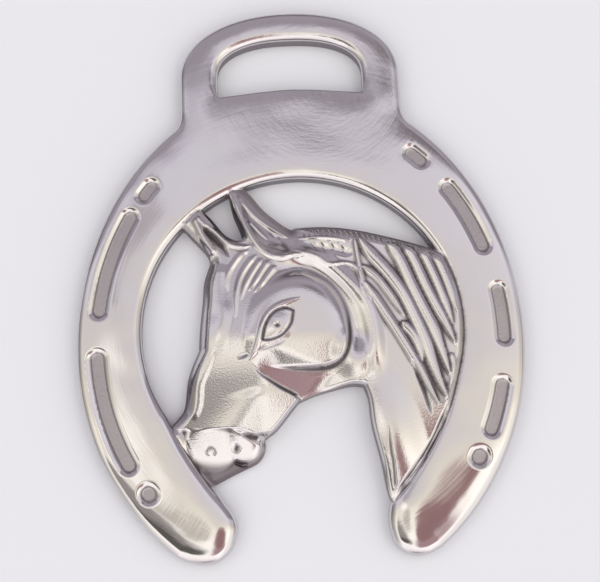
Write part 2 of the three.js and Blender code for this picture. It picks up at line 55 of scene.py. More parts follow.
# View: the brass lies on its flat back and is looked down on from beyond its toes.
# Distance, height and lens give the photograph's perspective in a frame of 600 by 582.
MM = 0.001
LOOK_AT = Vector((0.22, -3.12, 0)) * MM
VIEW_AZIMUTH = math.radians(-2.45)
VIEW_ELEVATION = math.radians(74)
VIEW_DISTANCE = 173.6 * MM
LENS = 66
SENSOR = 36
NEAREST_SEEN = 10 * MM

towards_camera = Vector((
    math.sin(VIEW_AZIMUTH) * math.cos(VIEW_ELEVATION),
    -math.cos(VIEW_AZIMUTH) * math.cos(VIEW_ELEVATION),
    math.sin(VIEW_ELEVATION),
))
camera = bpy.data.objects.new("camera", bpy.data.cameras.new("camera"))
camera.data.lens = LENS
camera.data.sensor_width = SENSOR
camera.data.clip_start = NEAREST_SEEN
camera.location = LOOK_AT + towards_camera * VIEW_DISTANCE
camera.rotation_euler = (-towards_camera).to_track_quat("-Z", "Y").to_euler()
bpy.context.scene.collection.objects.link(camera)
bpy.context.scene.camera = camera

# Horseshoe plate: a flat casting, a little over 3 mm thick, that carries everything else.
# Its edges were rounded over on a polishing wheel, and a loop with a slot for the strap
# stands on top. All sizes from here on are millimetres, seen from the front.
PLATE_THICKNESS = 3.3
EDGE_WIDTH = 1.2
EDGE_FALL = 0.9
SILL_WIDTH = 0.4
SILL_REACH = 2.5
TOE_EASE_WIDTH = 3.4
TOE_EASE_FALL = 0.45
TOE_START_Y, TOE_FULL_Y = -27, -36
EASE_WIDTH = 2.4
EASE_FALL = 0.1
CROWN_FALL = 0.1
CROWN_WIDTH = 4.5
SHOE_CENTRE_Y = -11
# An oval has a half width, a rise above the shoe's middle and a drop below it.
SHOE_OVAL = (34.4, 42, 39.2)
OPENING_RADIUS = 24.5
OPENING_CENTRE_Y = -9.5
OPENING_RIGHT_END = math.radians(-14)
OPENING_LEFT_END = math.radians(212)
LOOP_HALF_WIDTH = 18
LOOP_ARCH_Y = 33
LOOP_ARCH_RISE = 11.6
LOOP_ARCH_POWER = 2.15
SHOULDER_ANGLE = 34
SHOULDER_START = 3.3
SHOULDER_PULL = 1
TOE_ANGLE = 146
SLOT_HALF_WIDTH = 11.9
SLOT_ARCH_RISE = 6.6
SLOT_ARCH_POWER = 2.4
SLOT_SILL_CORNER_Y = 29.4
SLOT_SILL_MIDDLE_Y = 30.4
RIGHT_TOE = [
    (17.4, -44.35), (15.6, -44.58), (14, -44.1), (12.6, -42.8), (11.9, -40.6), (11.9, -38.2), (12.6, -36),
    (14.8, -33.5), (17.1, -30.6), (19.2, -27.4), (21.3, -23.2), (22.8, -18.9),
]
LEFT_TOE = [
    (-17.2, -44.3), (-15.1, -44.58), (-13.2, -44.1), (-11.5, -42.6), (-10.6, -40.2), (-10.8, -38.2),
    (-12.3, -35.8), (-14.6, -33), (-16.8, -30), (-18.7, -26.8),
]
CURVE_STEPS = 60
OUTLINE_SPACING = 0.36


def oval_point(angle, side, half_width, rise, drop):
    """A point on an oval about the shoe's middle, at an angle in degrees from the strap loop."""
    up = math.cos(math.radians(angle))
    height = rise if up > 0 else drop
    return side * half_width * math.sin(math.radians(angle)), SHOE_CENTRE_Y + up * height


def arch(half_width, rise, power):
    """A squarish arch from its right end over the top to its left end."""
    points = []
    for i in range(CURVE_STEPS + 1):
        turn = math.pi * i / CURVE_STEPS
        across = math.copysign(abs(math.cos(turn)) ** (2 / power), math.cos(turn))
        points.append((half_width * across, LOOP_ARCH_Y + rise * math.sin(turn) ** (2 / power)))
    return points


def smooth_path(points, steps=8):
    """A smooth curve through a few points."""
    p = np.array(points, float)
    ends = np.vstack([p[:1], p, p[-1:]])
    t = (np.arange(steps) / steps)[:, None]
    pieces = []
    for a, b, c, d in zip(ends, ends[1:], ends[2:], ends[3:]):
        start, end = (c - a) / 2, (d - b) / 2
        bend = 3 * (c - b) - 2 * start - end
        pieces.append(b + start * t + bend * t**2 + (2 * (b - c) + start + end) * t**3)
    return np.vstack([*pieces, p[-1:]])


def even_path(points, spacing):
    """The same path with points at an even spacing."""
    p = np.array(points, float)
    along = np.concatenate([[0], np.cumsum(np.hypot(*np.diff(p, axis=0).T))])
    wanted = np.linspace(0, along[-1], max(2, round(along[-1] / spacing) + 1))
    return np.stack([np.interp(wanted, along, p[:, k]) for k in (0, 1)], 1)


def mirrored(points):
    return [(-x, y) for x, y in points]


def near_path(x, y, path, reach=math.inf):
    """How far points are from a path, how far along it the nearest place is, and on which side.

    Points that can't be within reach are left at an endless distance.
    """
    path = np.asarray(path, float)
    low, high = path.min(axis=0) - reach, path.max(axis=0) + reach
    close = (x > low[0]) & (x < high[0]) & (y > low[1]) & (y < high[1])
    corners = [(*p, level) for level in (-1, 1) for p in path.tolist()]
    strips = [(k, k + 1, len(path) + k + 1, len(path) + k) for k in range(len(path) - 1)]
    fence = BVHTree.FromPolygons(corners, strips)
    nearest = [fence.find_nearest((*p, 0))[2] for p in zip(x[close].tolist(), y[close].tolist())]
    runs = np.diff(path, axis=0)
    lengths = np.hypot(*runs.T)
    start, run, length = path[nearest], runs[nearest], lengths[nearest]
    dx, dy = x[close] - start[:, 0], y[close] - start[:, 1]
    share = np.clip((dx * run[:, 0] + dy * run[:, 1]) / length**2, 0, 1)
    distance = np.full(x.shape, np.inf)
    along = np.zeros(x.shape)
    side = np.ones(x.shape)
    distance[close] = np.hypot(dx - share * run[:, 0], dy - share * run[:, 1])
    along[close] = ((np.cumsum(lengths) - lengths)[nearest] + share * length) / lengths.sum()
    side[close] = np.where(run[:, 0] * dy - run[:, 1] * dx < 0, -1, 1)
    return distance, along, side


def is_inside(x, y, loop, following=None):
    """Whether points lie inside closed loops, by counting the crossings to their right.

    The point that follows each point is given where there is more than one loop.
    """
    if following is None:
        following = np.roll(loop, -1, axis=0)
    odd = np.zeros(x.shape, bool)
    for (ax, ay), (bx, by) in zip(loop, following):
        if ay != by:
            odd ^= ((ay > y) != (by > y)) & (x < ax + (bx - ax) * (y - ay) / (by - ay))
    return odd


def rounded_edge(distance, width):
    """A quarter round that rises from 0 at the edge to 1 at its width."""
    return np.sqrt(1 - (1 - np.clip(distance / width, 0, 1)) ** 2)


def smooth_step(low, high, value):
    share = np.clip((value - low) / (high - low), 0, 1)
    return share * share * (3 - 2 * share)


shoulder = np.array(oval_point(SHOULDER_ANGLE, 1, *SHOE_OVAL))
shoulder_top = np.array((LOOP_HALF_WIDTH, shoulder[1] + SHOULDER_START))
shoulder_pull = np.array((LOOP_HALF_WIDTH, shoulder[1] + SHOULDER_PULL))
shoe_side = []
for step in np.linspace(0, 1, CURVE_STEPS // 4, endpoint=False):
    pulled = 2 * step * (1 - step) * shoulder_pull
    shoe_side.append((1 - step) ** 2 * shoulder_top + pulled + step**2 * shoulder)
for angle in np.linspace(SHOULDER_ANGLE, TOE_ANGLE, 2 * CURVE_STEPS):
    shoe_side.append(oval_point(angle, 1, *SHOE_OVAL))

opening = []
for turn in np.linspace(OPENING_RIGHT_END, OPENING_LEFT_END, 4 * CURVE_STEPS):
    opening.append((OPENING_RADIUS * math.cos(turn), OPENING_CENTRE_Y + OPENING_RADIUS * math.sin(turn)))
right_toe = smooth_path([shoe_side[-1], *RIGHT_TOE, opening[0]])[1:-1]
left_toe = smooth_path([mirrored(shoe_side)[-1], *LEFT_TOE, opening[-1]])[1:-1]
loop_arch = arch(LOOP_HALF_WIDTH, LOOP_ARCH_RISE, LOOP_ARCH_POWER)
shoe_loop = [*shoe_side, *right_toe, *opening, *left_toe[::-1], *mirrored(shoe_side)[::-1], *loop_arch[::-1]]
shoe_loop = even_path([*shoe_loop, shoe_loop[0]], OUTLINE_SPACING)[::-1]

slot_sill = smooth_path([
    (-SLOT_HALF_WIDTH, SLOT_SILL_CORNER_Y), (0, SLOT_SILL_MIDDLE_Y), (SLOT_HALF_WIDTH, SLOT_SILL_CORNER_Y),
])
slot_loop = [*slot_sill, *arch(SLOT_HALF_WIDTH, SLOT_ARCH_RISE, SLOT_ARCH_POWER)]
slot_loop = even_path([*slot_loop, slot_loop[0]], OUTLINE_SPACING)[::-1]


def depth_in_shoe(x, y):
    """How far points are inside the plate's edges, below zero outside."""
    to_edge = np.minimum(near_path(x, y, shoe_loop)[0], near_path(x, y, slot_loop)[0])
    inside = is_inside(x, y, shoe_loop[:-1]) & ~is_inside(x, y, slot_loop[:-1])
    return np.where(inside, to_edge, -to_edge)


def shoe_height(x, y, depth):
    """The plate's height, with rounded edges that are crisp at the slot's sill and eased at the toes."""
    from_sill = smooth_step(0, SILL_REACH, near_path(x, y, slot_sill, SILL_REACH)[0])
    width = SILL_WIDTH + (EDGE_WIDTH - SILL_WIDTH) * from_sill
    crown = PLATE_THICKNESS - CROWN_FALL * (1 - smooth_step(0, CROWN_WIDTH, depth))
    on_toe = smooth_step(TOE_START_Y, TOE_FULL_Y, y)
    ease_width = EASE_WIDTH + (TOE_EASE_WIDTH - EASE_WIDTH) * on_toe
    ease = EASE_FALL + (TOE_EASE_FALL - EASE_FALL) * on_toe
    ease = ease * (1 - np.clip(depth / ease_width, 0, 1)) ** 2
    return crown - ease - EDGE_FALL * width / EDGE_WIDTH * (1 - rounded_edge(depth, width))


# Horse's head: cast in one with the shoe and joined to it at the ears, mane, neck and muzzle.
# Its outline is cut through, its edges roll over to a low wall, and it swells above the shoe
# to a flat cheek and falls to a low, round muzzle.
HEAD_BODY_HEIGHT = 4
FACE_RISE = 1.25
FACE_STARTS_X, FACE_ENDS_X = 3, -6
FACE_TOP_Y, FOREHEAD_TOP_Y = -12, 6
FOREHEAD_FALL = 1.2
NOSE_TOP_Y = -14
NOSE_SLOPE = 0.13
NOSE_BLEND = 0.5
FACE_TILT = 0.1
FACE_TILT_X = -6
EAR_TILT_LEFT = 0.6
EAR_TILT_Y = (-6, 4)
HEAD_SPACING = 0.24
EDGE_POWER = 1.5
SHOE_OVERLAP = 0.8
SHOE_SEAM = (2.5, 1.1)
# Each edge has its height above the back, the width over which it rolls over, and its points.
HEAD_EDGES = [
    (2.2, 4.8, [(-9.6, 14.8), (-7.3, 12.7), (-5, 9.7), (-2.2, 7.2), (-0.8, 6.3)]),
    (2.5, 2.0, [(-0.8, 6.3), (0.6, 6.5), (4.5, 6.5), (9.4, 5.8), (15.6, 4.1), (20.3, 2.5), (23.8, 1.1)]),
    (2.2, 1.1, [
        (23.8, 1.1), (25.8, -4), (26, -10), (25.4, -16), (23.9, -21.5), (21.6, -26.6), (18.8, -31),
        (15.9, -34.9), (13.2, -38)]),
    (2.6, 0.6, [(13.2, -38), (11.9, -35.5), (11.2, -30.9), (10.1, -25.4), (9.8, -21.5), (9.2, -19.2)]),
    (2.6, 0.45, [(9.2, -19.2), (7.5, -19), (4.9, -19.5), (1.8, -20.3), (-0.7, -21.3)]),
    (2.5, 0.5, [(-0.7, -21.3), (-1.8, -22.6), (-4.2, -25.4), (-6.1, -26.7)]),
    (1, 0.8, [
        (-6.1, -26.7), (-6, -27.8), (-6.4, -29.1), (-7.3, -30.1), (-8.8, -30.8), (-11.5, -32), (-16, -34.2)]),
    (2.2, 1.6, [(-16, -34.2), (-18.9, -30), (-21.6, -25.6)]),
    (1.7, 1.7, [(-21.6, -25.6), (-18.9, -22.8), (-18, -21.2), (-17.6, -17.9), (-17, -15.6), (-15.7, -12.6)]),
    (2, 1.7, [(-15.7, -12.6), (-15.5, -9.5), (-15, -5), (-14.7, -1.8), (-13.7, 1.3)]),
    (2.2, 1.0, [(-13.7, 1.3), (-14.4, 3), (-16.6, 5.6), (-19, 8.6)]),
    (2.2, 0.9, [(-19, 8.6), (-16.6, 12)]),
    (2.2, 0.9, [(-16.6, 12), (-13.5, 8.8), (-11.5, 6.2), (-10.2, 5.2), (-9.2, 4.9), (-8.5, 5.1)]),
    (2.2, 0.9, [(-8.5, 5.1), (-9, 6.6), (-10, 9.4), (-10.6, 12.6), (-11.2, 14.4)]),
    (2.2, 0.9, [(-11.2, 14.4), (-9.6, 14.8)]),
]
# The cheek is a low dome, round above its middle and squarer below, with a steep rim. Its lower
# part falls away in two soft facets.
CHEEK_MIDDLE = (-0.3, -8.6)
CHEEK_LEFT, CHEEK_RIGHT, CHEEK_UP, CHEEK_DOWN = 9, 7.7, 8, 7.8
CHEEK_SQUARENESS = 3.6
CHEEK_TOP = 5.42
CHEEK_SAG = 1
CHEEK_SAG_POWER = 4.5
CHEEK_LOW_SAG = 0.6
CHEEK_LOW_FROM, CHEEK_LOW_TO = 0.3, -0.9
# Each facet has a place where it starts, the way it falls, its slope and the height of its blend.
CHEEK_FACETS = [((0, -11.9), (0, -1), 0.11, 0.12), ((-3, -13.6), (-0.41, -0.91), 0.16, 0.12)]
CHEEK_FOOT = 3.3
CHEEK_RIM_POWERS = (9.5, 90)
CHEEK_RIM_SOFT, CHEEK_RIM_CRISP = 0.5, -0.95
CHEEK_REACH = 1.15
CHEEK_END_SLOPE = 8
CHEEK_BLEND = 0.3
# Below the cheek the jaw slopes away, behind a crease that runs from the corner of the eye, and
# rises again to the jowl.
JAW_CREASE = [
    (-8.9, -13.6), (-8, -15.2), (-6.9, -16.9), (-5.5, -18.1), (-3.5, -19.5), (-1.8, -20.5), (-0.3, -21.5),
]
JAW_PLACE = (-3.5, -19.5)
JAW_HEIGHT = 3.65
JAW_SLOPES = (-0.12, 0.22)
JOWL_PLACE = (9.5, -17)
JOWL_HEIGHT = 4
JOWL_SLOPES = (0.13, 0.04)
JOWL_BLEND = 0.35
JAW_LIP = 0.4
JAW_BLEND = 0.5
# The nose slopes down to a bend, where the muzzle's two round lobes begin, beside a flatter chin.
CHIN_MIDDLE = (-6, -23)
CHIN_HEIGHT = 4.05
CHIN_SLOPES = (0, 0.15)
CHIN_LEFT_END = (-10.9, -25.3)
CHIN_LEFT_WAY = (-0.83, 0.56)
CHIN_LEFT_SLOPE = 0.25
CHIN_TOP_Y = -20
CHIN_TOP_SLOPE = 0.32
CHIN_BLEND = 0.4
CHIN_BEND = 0.25
MUZZLE_LINE = [(-23, -24.6), (-17, -24.6), (-11, -24.8), (-9.7, -25.6), (-7.4, -25.8), (-3, -25.6)]
MUZZLE_BEND = 0.5
MUZZLE_FLANGE = 0.8
MUZZLE_FLANGE_RISE = 1.3
MUZZLE_FLANGE_Y = (-30.5, -25)
MUZZLE_SEAM = 0.5
MUZZLE_FILLET = 1.2
MUZZLE_ROUND = 4
MUZZLE_BLEND = 0.2
# Each lobe has its middle, half width, half height above and below the middle, top and slopes.
MUZZLE_LOBES = [
    ((-14, -27.4), (4.1, 9, 3.8), 2.28, (0.05, 0.3)),
    ((-9.3, -27.6), (2.8, 6, 2.5), 2.45, (0.04, 0.3)),
]
# The near ear's hollow falls away behind its front rim.
EAR_RIM = [(-9.8, 13.6), (-9.2, 11.4), (-8.6, 9.2), (-7.9, 7), (-7, 4.9), (-5.8, 3), (-4.2, 1.7)]
EAR_SLOPE = 0.4
EAR_WIDTH = 3.2
EAR_FOOT_Y, EAR_FULL_Y = 1.5, 4
EAR_FULL_X, EAR_END_X = -2.5, 0
# The neck falls in a curve towards its foot.
NECK_CURVE = 0.0035
NECK_TOP_Y = -18
NECK_LEFT_X, NECK_RIGHT_X = 7, 12

edge_paths = [even_path(smooth_path(points), HEAD_SPACING) for height, width, points in HEAD_EDGES]
head_loop = np.vstack([*[path[:-1] for path in edge_paths], edge_paths[0][:1]])


def depth_in_head(x, y, in_shoe):
    """How far points are inside the part of the head that shows, below zero outside."""
    to_edge = near_path(x, y, head_loop)[0]
    to_edge = np.where(is_inside(x, y, head_loop[:-1]), to_edge, -to_edge)
    return np.minimum(to_edge, SHOE_OVERLAP - in_shoe)


def blended_max(a, b, blend):
    """The larger of two heights, with the valley between them filled over a blend height."""
    share = np.clip(0.5 + 0.5 * (a - b) / blend, 0, 1)
    return b + (a - b) * share + blend * share * (1 - share)


def ridge(distance, half_width):
    return (1 - np.clip(distance / half_width, 0, 1) ** 2) ** 2


def fade_ends(along, fade_in, fade_out):
    """A share that rises over the first part of a path and falls over the last."""
    start = np.clip(along / fade_in, 0, 1) if fade_in else 1
    end = np.clip((1 - along) / fade_out, 0, 1) if fade_out else 1
    return np.sqrt(start * end) * np.ones_like(along)


def past(x, y, path, wanted_side):
    """How far points are past a path on one side of it, and 0 on the other."""
    distance, _, side = near_path(x, y, path)
    return np.where(side == wanted_side, distance, 0)


def sloping(x, y, place, height, slopes):
    """The height of a plane through a place."""
    return height + slopes[0] * (x - place[0]) + slopes[1] * (y - place[1])


def face_height(x, y, on_face):
    """The neck, and the face that rises before it and bends at the forehead and the nose."""
    bend = FOREHEAD_FALL * smooth_step(FACE_TOP_Y, FOREHEAD_TOP_Y, y)
    bend += blended_max(NOSE_SLOPE * (NOSE_TOP_Y - y), 0, NOSE_BLEND)
    tilt_left = 1 + (EAR_TILT_LEFT - 1) * smooth_step(*EAR_TILT_Y, y)
    tilt = blended_max(FACE_TILT * (FACE_TILT_X - x), 0, FACE_TILT) * tilt_left
    return HEAD_BODY_HEIGHT + (FACE_RISE - bend) * on_face - tilt


def chin_height(x, y):
    from_left = sloping(x, y, CHIN_LEFT_END, 0, CHIN_LEFT_WAY)
    chin = sloping(x, y, CHIN_MIDDLE, CHIN_HEIGHT, CHIN_SLOPES)
    chin -= blended_max(CHIN_LEFT_SLOPE * from_left, 0, CHIN_BEND)
    return chin - blended_max(CHIN_TOP_SLOPE * (y - CHIN_TOP_Y), 0, CHIN_BEND)


def muzzle_height(x, y, in_shoe):
    """Round lobes on a low flange, which rises to the nose and in the seam beside the shoe."""
    flange = MUZZLE_FLANGE + MUZZLE_FLANGE_RISE * smooth_step(*MUZZLE_FLANGE_Y, y)
    flange += MUZZLE_SEAM * smooth_step(-MUZZLE_FILLET, 0, in_shoe)
    muzzle = flange
    for middle, (half_width, above, below), top, slopes in MUZZLE_LOBES:
        upward = (y - middle[1]) / np.where(y > middle[1], above, below)
        from_middle = np.hypot((x - middle[0]) / half_width, upward)
        lobe = sloping(x, y, middle, top, slopes) - flange
        lobe = flange + lobe * np.sqrt(np.clip(1 - from_middle**MUZZLE_ROUND, 0, 1))
        muzzle = blended_max(muzzle, lobe, MUZZLE_BLEND)
    return muzzle


def cheek_height(x, y):
    across, upward = x - CHEEK_MIDDLE[0], y - CHEEK_MIDDLE[1]
    across = np.abs(across) / np.where(across > 0, CHEEK_RIGHT, CHEEK_LEFT)
    squareness = np.where(upward > 0, 2, CHEEK_SQUARENESS)
    upward = upward / np.where(upward > 0, CHEEK_UP, CHEEK_DOWN)
    soft, crisp = CHEEK_RIM_POWERS
    rim_power = soft * (crisp / soft) ** smooth_step(CHEEK_RIM_SOFT, CHEEK_RIM_CRISP, upward)
    sagging = 1 + (CHEEK_LOW_SAG - 1) * smooth_step(CHEEK_LOW_FROM, CHEEK_LOW_TO, upward)
    upward = np.abs(upward)
    from_middle = (across**squareness + upward**squareness) ** (1 / squareness)
    from_top = np.hypot(across * sagging, upward * (y > CHEEK_MIDDLE[1]))
    dome = CHEEK_TOP - CHEEK_SAG * from_top**CHEEK_SAG_POWER - CHEEK_FOOT
    for place, way, slope, blend in CHEEK_FACETS:
        dome -= blended_max(slope * sloping(x, y, place, 0, way), 0, blend)
    cheek = CHEEK_FOOT + dome / (1 + from_middle**rim_power)
    return cheek - CHEEK_END_SLOPE * np.clip(from_middle - CHEEK_REACH, 0, None)


def body_height(x, y, in_shoe):
    """The head before its hair: the neck, face, chin, muzzle, jaw, ear and cheek."""
    on_face = 1 - smooth_step(FACE_ENDS_X, FACE_STARTS_X, x)
    height = face_height(x, y, on_face)
    height = np.where(on_face > 0, blended_max(height, chin_height(x, y), CHIN_BLEND), height)
    on_muzzle = smooth_step(0, MUZZLE_BEND, past(x, y, MUZZLE_LINE, -1)) * (x < FACE_STARTS_X)
    height += (muzzle_height(x, y, in_shoe) - height) * on_muzzle
    height -= NECK_CURVE * np.clip(NECK_TOP_Y - y, 0, None) ** 2 * smooth_step(NECK_LEFT_X, NECK_RIGHT_X, x)
    jaw = sloping(x, y, JAW_PLACE, JAW_HEIGHT, JAW_SLOPES)
    jaw = blended_max(jaw, sloping(x, y, JOWL_PLACE, JOWL_HEIGHT, JOWL_SLOPES), JOWL_BLEND)
    behind = smooth_step(0, JAW_LIP, past(x, y, smooth_path(JAW_CREASE), 1))
    height -= behind * (height + blended_max(-height, -jaw, JAW_BLEND))
    behind_rim = np.clip(past(x, y, smooth_path(EAR_RIM), 1), 0, EAR_WIDTH)
    on_ear = smooth_step(EAR_FOOT_Y, EAR_FULL_Y, y) * smooth_step(EAR_END_X, EAR_FULL_X, x)
    height -= EAR_SLOPE * behind_rim * on_ear
    return blended_max(height, cheek_height(x, y), CHEEK_BLEND)


def with_edges(height, x, y, in_shoe):
    """The head's height with its edges rolled over, and how much of its form each point keeps."""
    kept = np.ones(x.shape)
    rolled = height
    rolls = [(*SHOE_SEAM, SHOE_OVERLAP - in_shoe)]
    for (edge_height, width, _), edge_path in zip(HEAD_EDGES, edge_paths):
        rolls.append((edge_height, width, near_path(x, y, edge_path, width)[0]))
    for edge_height, width, depth in rolls:
        share = 1 - (1 - np.clip(depth / width, 0, 1)) ** EDGE_POWER
        rolled = np.minimum(rolled, edge_height + (height - edge_height) * share)
        kept = np.minimum(kept, share)
    return rolled, kept


# Broad swellings of the head, modelled in the pattern that the mould was made from: the neck,
# the jowl's corner and the eyeball, and the soft ridges and grooves of the face and jowl.
# Each swelling has a middle, half sizes, a turn in degrees and a rise. Each soft stroke has a rise, a
# half width, the shares of its path over which it fades in and out, and its points.
SWELLINGS = [
    ((13.3, -29), (5.5, 14), 10, 0.7),
    ((8, -14.5), (4, 4.5), 0, 0.35),
    ((-3.5, -9.8), (3, 3), 0, 0.22),
]
SOFT_STROKES = [
    (-0.45, 1.9, (0.3, 0.2), [
        (-4.4, -2.3), (-2, -0.7), (0.7, -0.2), (3.2, -1.7), (5.5, -3.9), (7.3, -6.7), (8.3, -10),
        (8.6, -13.2), (7.6, -16.4)]),
    (0.45, 1.7, (0.1, 0.3), [
        (-1, 1.8), (1.5, 1.5), (3.4, 0.9), (5.2, -0.3), (7.2, -2.3), (9.1, -4.5), (10.5, -6.9), (11.3, -10.9),
        (11.4, -14.8), (11.3, -20)]),
    (0.2, 2, (0.1, 0.4), [
        (-12, 0.8), (-12.4, -2.6), (-12.3, -5.3), (-12, -7.7), (-12.8, -10.8), (-13.4, -13.1), (-14.1, -15)]),
    (0.08, 0.8, (0.2, 0.1), [
        (-13.2, -12.4), (-14.1, -15), (-14.8, -16.6), (-15.5, -18.3), (-15.7, -20.3), (-16, -21.8),
        (-16.9, -23.5)]),
]


def with_swellings(height, x, y):
    for (middle_x, middle_y), (along, across), turn, rise in SWELLINGS:
        cos, sin = math.cos(math.radians(turn)), math.sin(math.radians(turn))
        u = (x - middle_x) * cos + (y - middle_y) * sin
        v = (y - middle_y) * cos - (x - middle_x) * sin
        height = height + rise * ridge(np.hypot(u / along, v / across), 1)
    for rise, half_width, fades, path in SOFT_STROKES:
        distance, along, _ = near_path(x, y, smooth_path(path), half_width)
        share = smooth_step(0, fades[0], along) * smooth_step(0, fades[1], 1 - along)
        height = height + rise * ridge(distance, half_width) * share
    return height


# Mane: round-backed locks combed back from the crest and lying over each other along the neck.
# They are part of the casting. Each has a half width, the height of its back, and its path.
LOCK_DEPTH = 0.8
LOCK_FALL = 2
LOCK_FADES = (0.12, 0.3)
LOCK_REACH = 2
LOCK_BLEND = 0.12
THINNEST_LOCK = 0.01
MANE_LOCKS = [
    (0.5, 4.35, [(9, 4.2), (9.3, 1), (9.8, -2.1), (10.4, -4.7), (11.2, -6.5)]),
    (0.85, 4.5, [
        (10.2, -3.2), (12.3, -6.9), (14.4, -10.6), (16.4, -14.4), (18.2, -18.2), (19.4, -21), (20.3, -22.8)]),
    (0.7, 4.45, [(10, -0.6), (12, -2.4), (13.5, -4.5), (14.8, -6.7), (16, -9)]),
    (0.85, 4.5, [(15.5, -9.8), (17, -11.6), (17.9, -13.7), (18.2, -16)]),
    (1.05, 4.6, [
        (9.6, 4), (11.2, 1.6), (13.6, -1.4), (15.8, -4.8), (17.4, -8.6), (18.8, -12.6), (19.7, -16.2),
        (20.8, -19.8), (21.7, -22.2)]),
    (1, 4.6, [
        (13.6, 4.2), (15.7, 0.6), (17.2, -3.4), (18.7, -7.2), (20.2, -10.8), (21.3, -14.6), (22.2, -18.4)]),
    (0.9, 4.55, [(16.4, 3.4), (18, 0.2), (19.3, -3.4), (20.8, -7), (22.2, -10.2), (23.4, -13.6)]),
    (0.8, 4.5, [(19, 2.4), (20.3, -0.8), (21.3, -3.6), (22.4, -7.2), (23.3, -10.5)]),
    (0.8, 4.3, [(21.3, 1.2), (22.4, -1.8), (23.3, -5), (24, -8.5)]),
    (0.6, 4.3, [(22.6, -15), (22.9, -16.6), (22.6, -18.2), (22, -20.2)]),
]


def with_mane(height, x, y):
    for half_width, back, path in MANE_LOCKS:
        distance, along, _ = near_path(x, y, smooth_path(path), LOCK_REACH)
        width = np.maximum(half_width * fade_ends(along, *LOCK_FADES), THINNEST_LOCK)
        round_back = np.sqrt(np.clip(1 - (distance / width) ** 2, 0, 1))
        lock = back - LOCK_DEPTH * (1 - round_back) - LOCK_FALL * np.clip(distance - width, 0, LOCK_REACH)
        height = blended_max(height, lock, LOCK_BLEND)
    return height


# The casting's skin: one closed mesh, fine over the head and coarser over the plain shoe.
# Rows of points follow every edge so that its round catches the light evenly.
HEAD_GRID = 0.16
SHOE_GRID = 0.6
SHOE_ROWS = [0.02, 0.07, 0.14, 0.23, 0.35, 0.5, 0.67, 0.87, 1.1, 1.4, 1.75, 2.1]
HEAD_ROWS = [0.06, 0.14, 0.24, 0.37, 0.52, 0.7]
ROW_TOLERANCE = 0.03
BACK_ROUND = 0.3
PARTING_HEIGHT = 1.6
WALL_TOP = 0.12
DRAFT = 0.12
BACK_GRID = 3
BACK_CLEARANCE = 1
BACK_TURNS = np.radians([0, 30, 60, 90])
# The wheel reached the head's rolled edges only above a share of their roll, and a height. Below it they
# stay matt, and like the walls they are painted darker, partly as the shade near the floor.
POLISH_REACH = (0.15, 0.55)
POLISH_HEIGHT = (1.1, 1.7)


def to_left(ahead):
    """Unit directions to the left of the ways ahead."""
    ahead = ahead / np.hypot(*ahead.T)[:, None]
    return np.stack([-ahead[:, 1], ahead[:, 0]], 1)


def signed_area(loop):
    return np.sum(loop[:-1, 0] * loop[1:, 1] - loop[1:, 0] * loop[:-1, 1]) / 2


def rows_beside(loop, distances, hollow=False):
    """Rows of points at distances inside a loop, or outside it where it bounds a hollow."""
    way = to_left(np.roll(loop[:-1], -1, axis=0) - np.roll(loop[:-1], 1, axis=0))
    way *= 1 if (signed_area(loop) > 0) != hollow else -1
    return [(loop[:-1] + way * distance, distance) for distance in distances]


def depths(points):
    """How far points are inside the shoe, and inside the part of the head that shows."""
    in_shoe = depth_in_shoe(*points.T)
    return in_shoe, depth_in_head(*points.T, in_shoe)


def hex_grid(spacing):
    """Points spread evenly in staggered rows over the whole part."""
    low, high = np.array(cad_box[0])[:2] / MM, np.array(cad_box[1])[:2] / MM
    row_height = spacing * math.sqrt(3) / 2
    rows = np.arange(low[1], high[1], row_height)
    columns = np.arange(low[0], high[0], spacing)
    x, y = np.meshgrid(columns, rows)
    x = x + (np.arange(len(rows)) % 2)[:, None] * spacing / 2
    return np.stack([x.ravel(), y.ravel()], 1)


NAIL_GRID = 0.26
NAIL_OVAL = (31.2, 37, 35)
NAIL_STEPS = 9
# Each nail recess has a side, the angles where it starts and ends, and a half width.
NAILS = [
    (-1, 47, 50, 1), (-1, 57, 82, 1.15), (-1, 94, 122.5, 1.15), (-1, 131.2, 131.6, 1.2),
    (1, 37.5, 41, 1), (1, 51.5, 69, 1.1), (1, 81, 92.5, 1.1), (1, 105, 116.5, 1.1), (1, 124.1, 124.5, 1.2),
]
NAIL_RINGS = [0.68, 0.73, 0.79, 0.86, 0.93, 1, 1.13, 1.27, 1.41, 1.55, 1.72]


def around(path, distance):
    """Points all round a path at a distance from it."""
    path = even_path(path, NAIL_GRID)
    ahead = np.gradient(path, axis=0)
    ahead /= np.hypot(*ahead.T)[:, None]
    aside = np.stack([-ahead[:, 1], ahead[:, 0]], 1) * distance
    ring = [path + aside, path - aside]
    steps = max(4, round(math.pi * distance / NAIL_GRID))
    for end, way in ((path[0], -ahead[0]), (path[-1], ahead[-1])):
        turns = math.atan2(way[1], way[0]) + math.pi * (np.arange(1, steps) / steps - 0.5)
        ring.append(end + distance * np.stack([np.cos(turns), np.sin(turns)], 1))
    return np.vstack(ring)


nail_paths = []
for side, start, end, half_width in NAILS:
    path = [oval_point(angle, side, *NAIL_OVAL) for angle in np.linspace(start, end, NAIL_STEPS)]
    nail_paths.append((half_width, path))

points = [shoe_loop[:-1], slot_loop[:-1], head_loop[:-1]]
edges = []
count = 0
for loop in points:
    numbers = np.arange(len(loop)) + count
    edges += list(zip(numbers.tolist(), np.roll(numbers, -1).tolist()))
    count += len(loop)

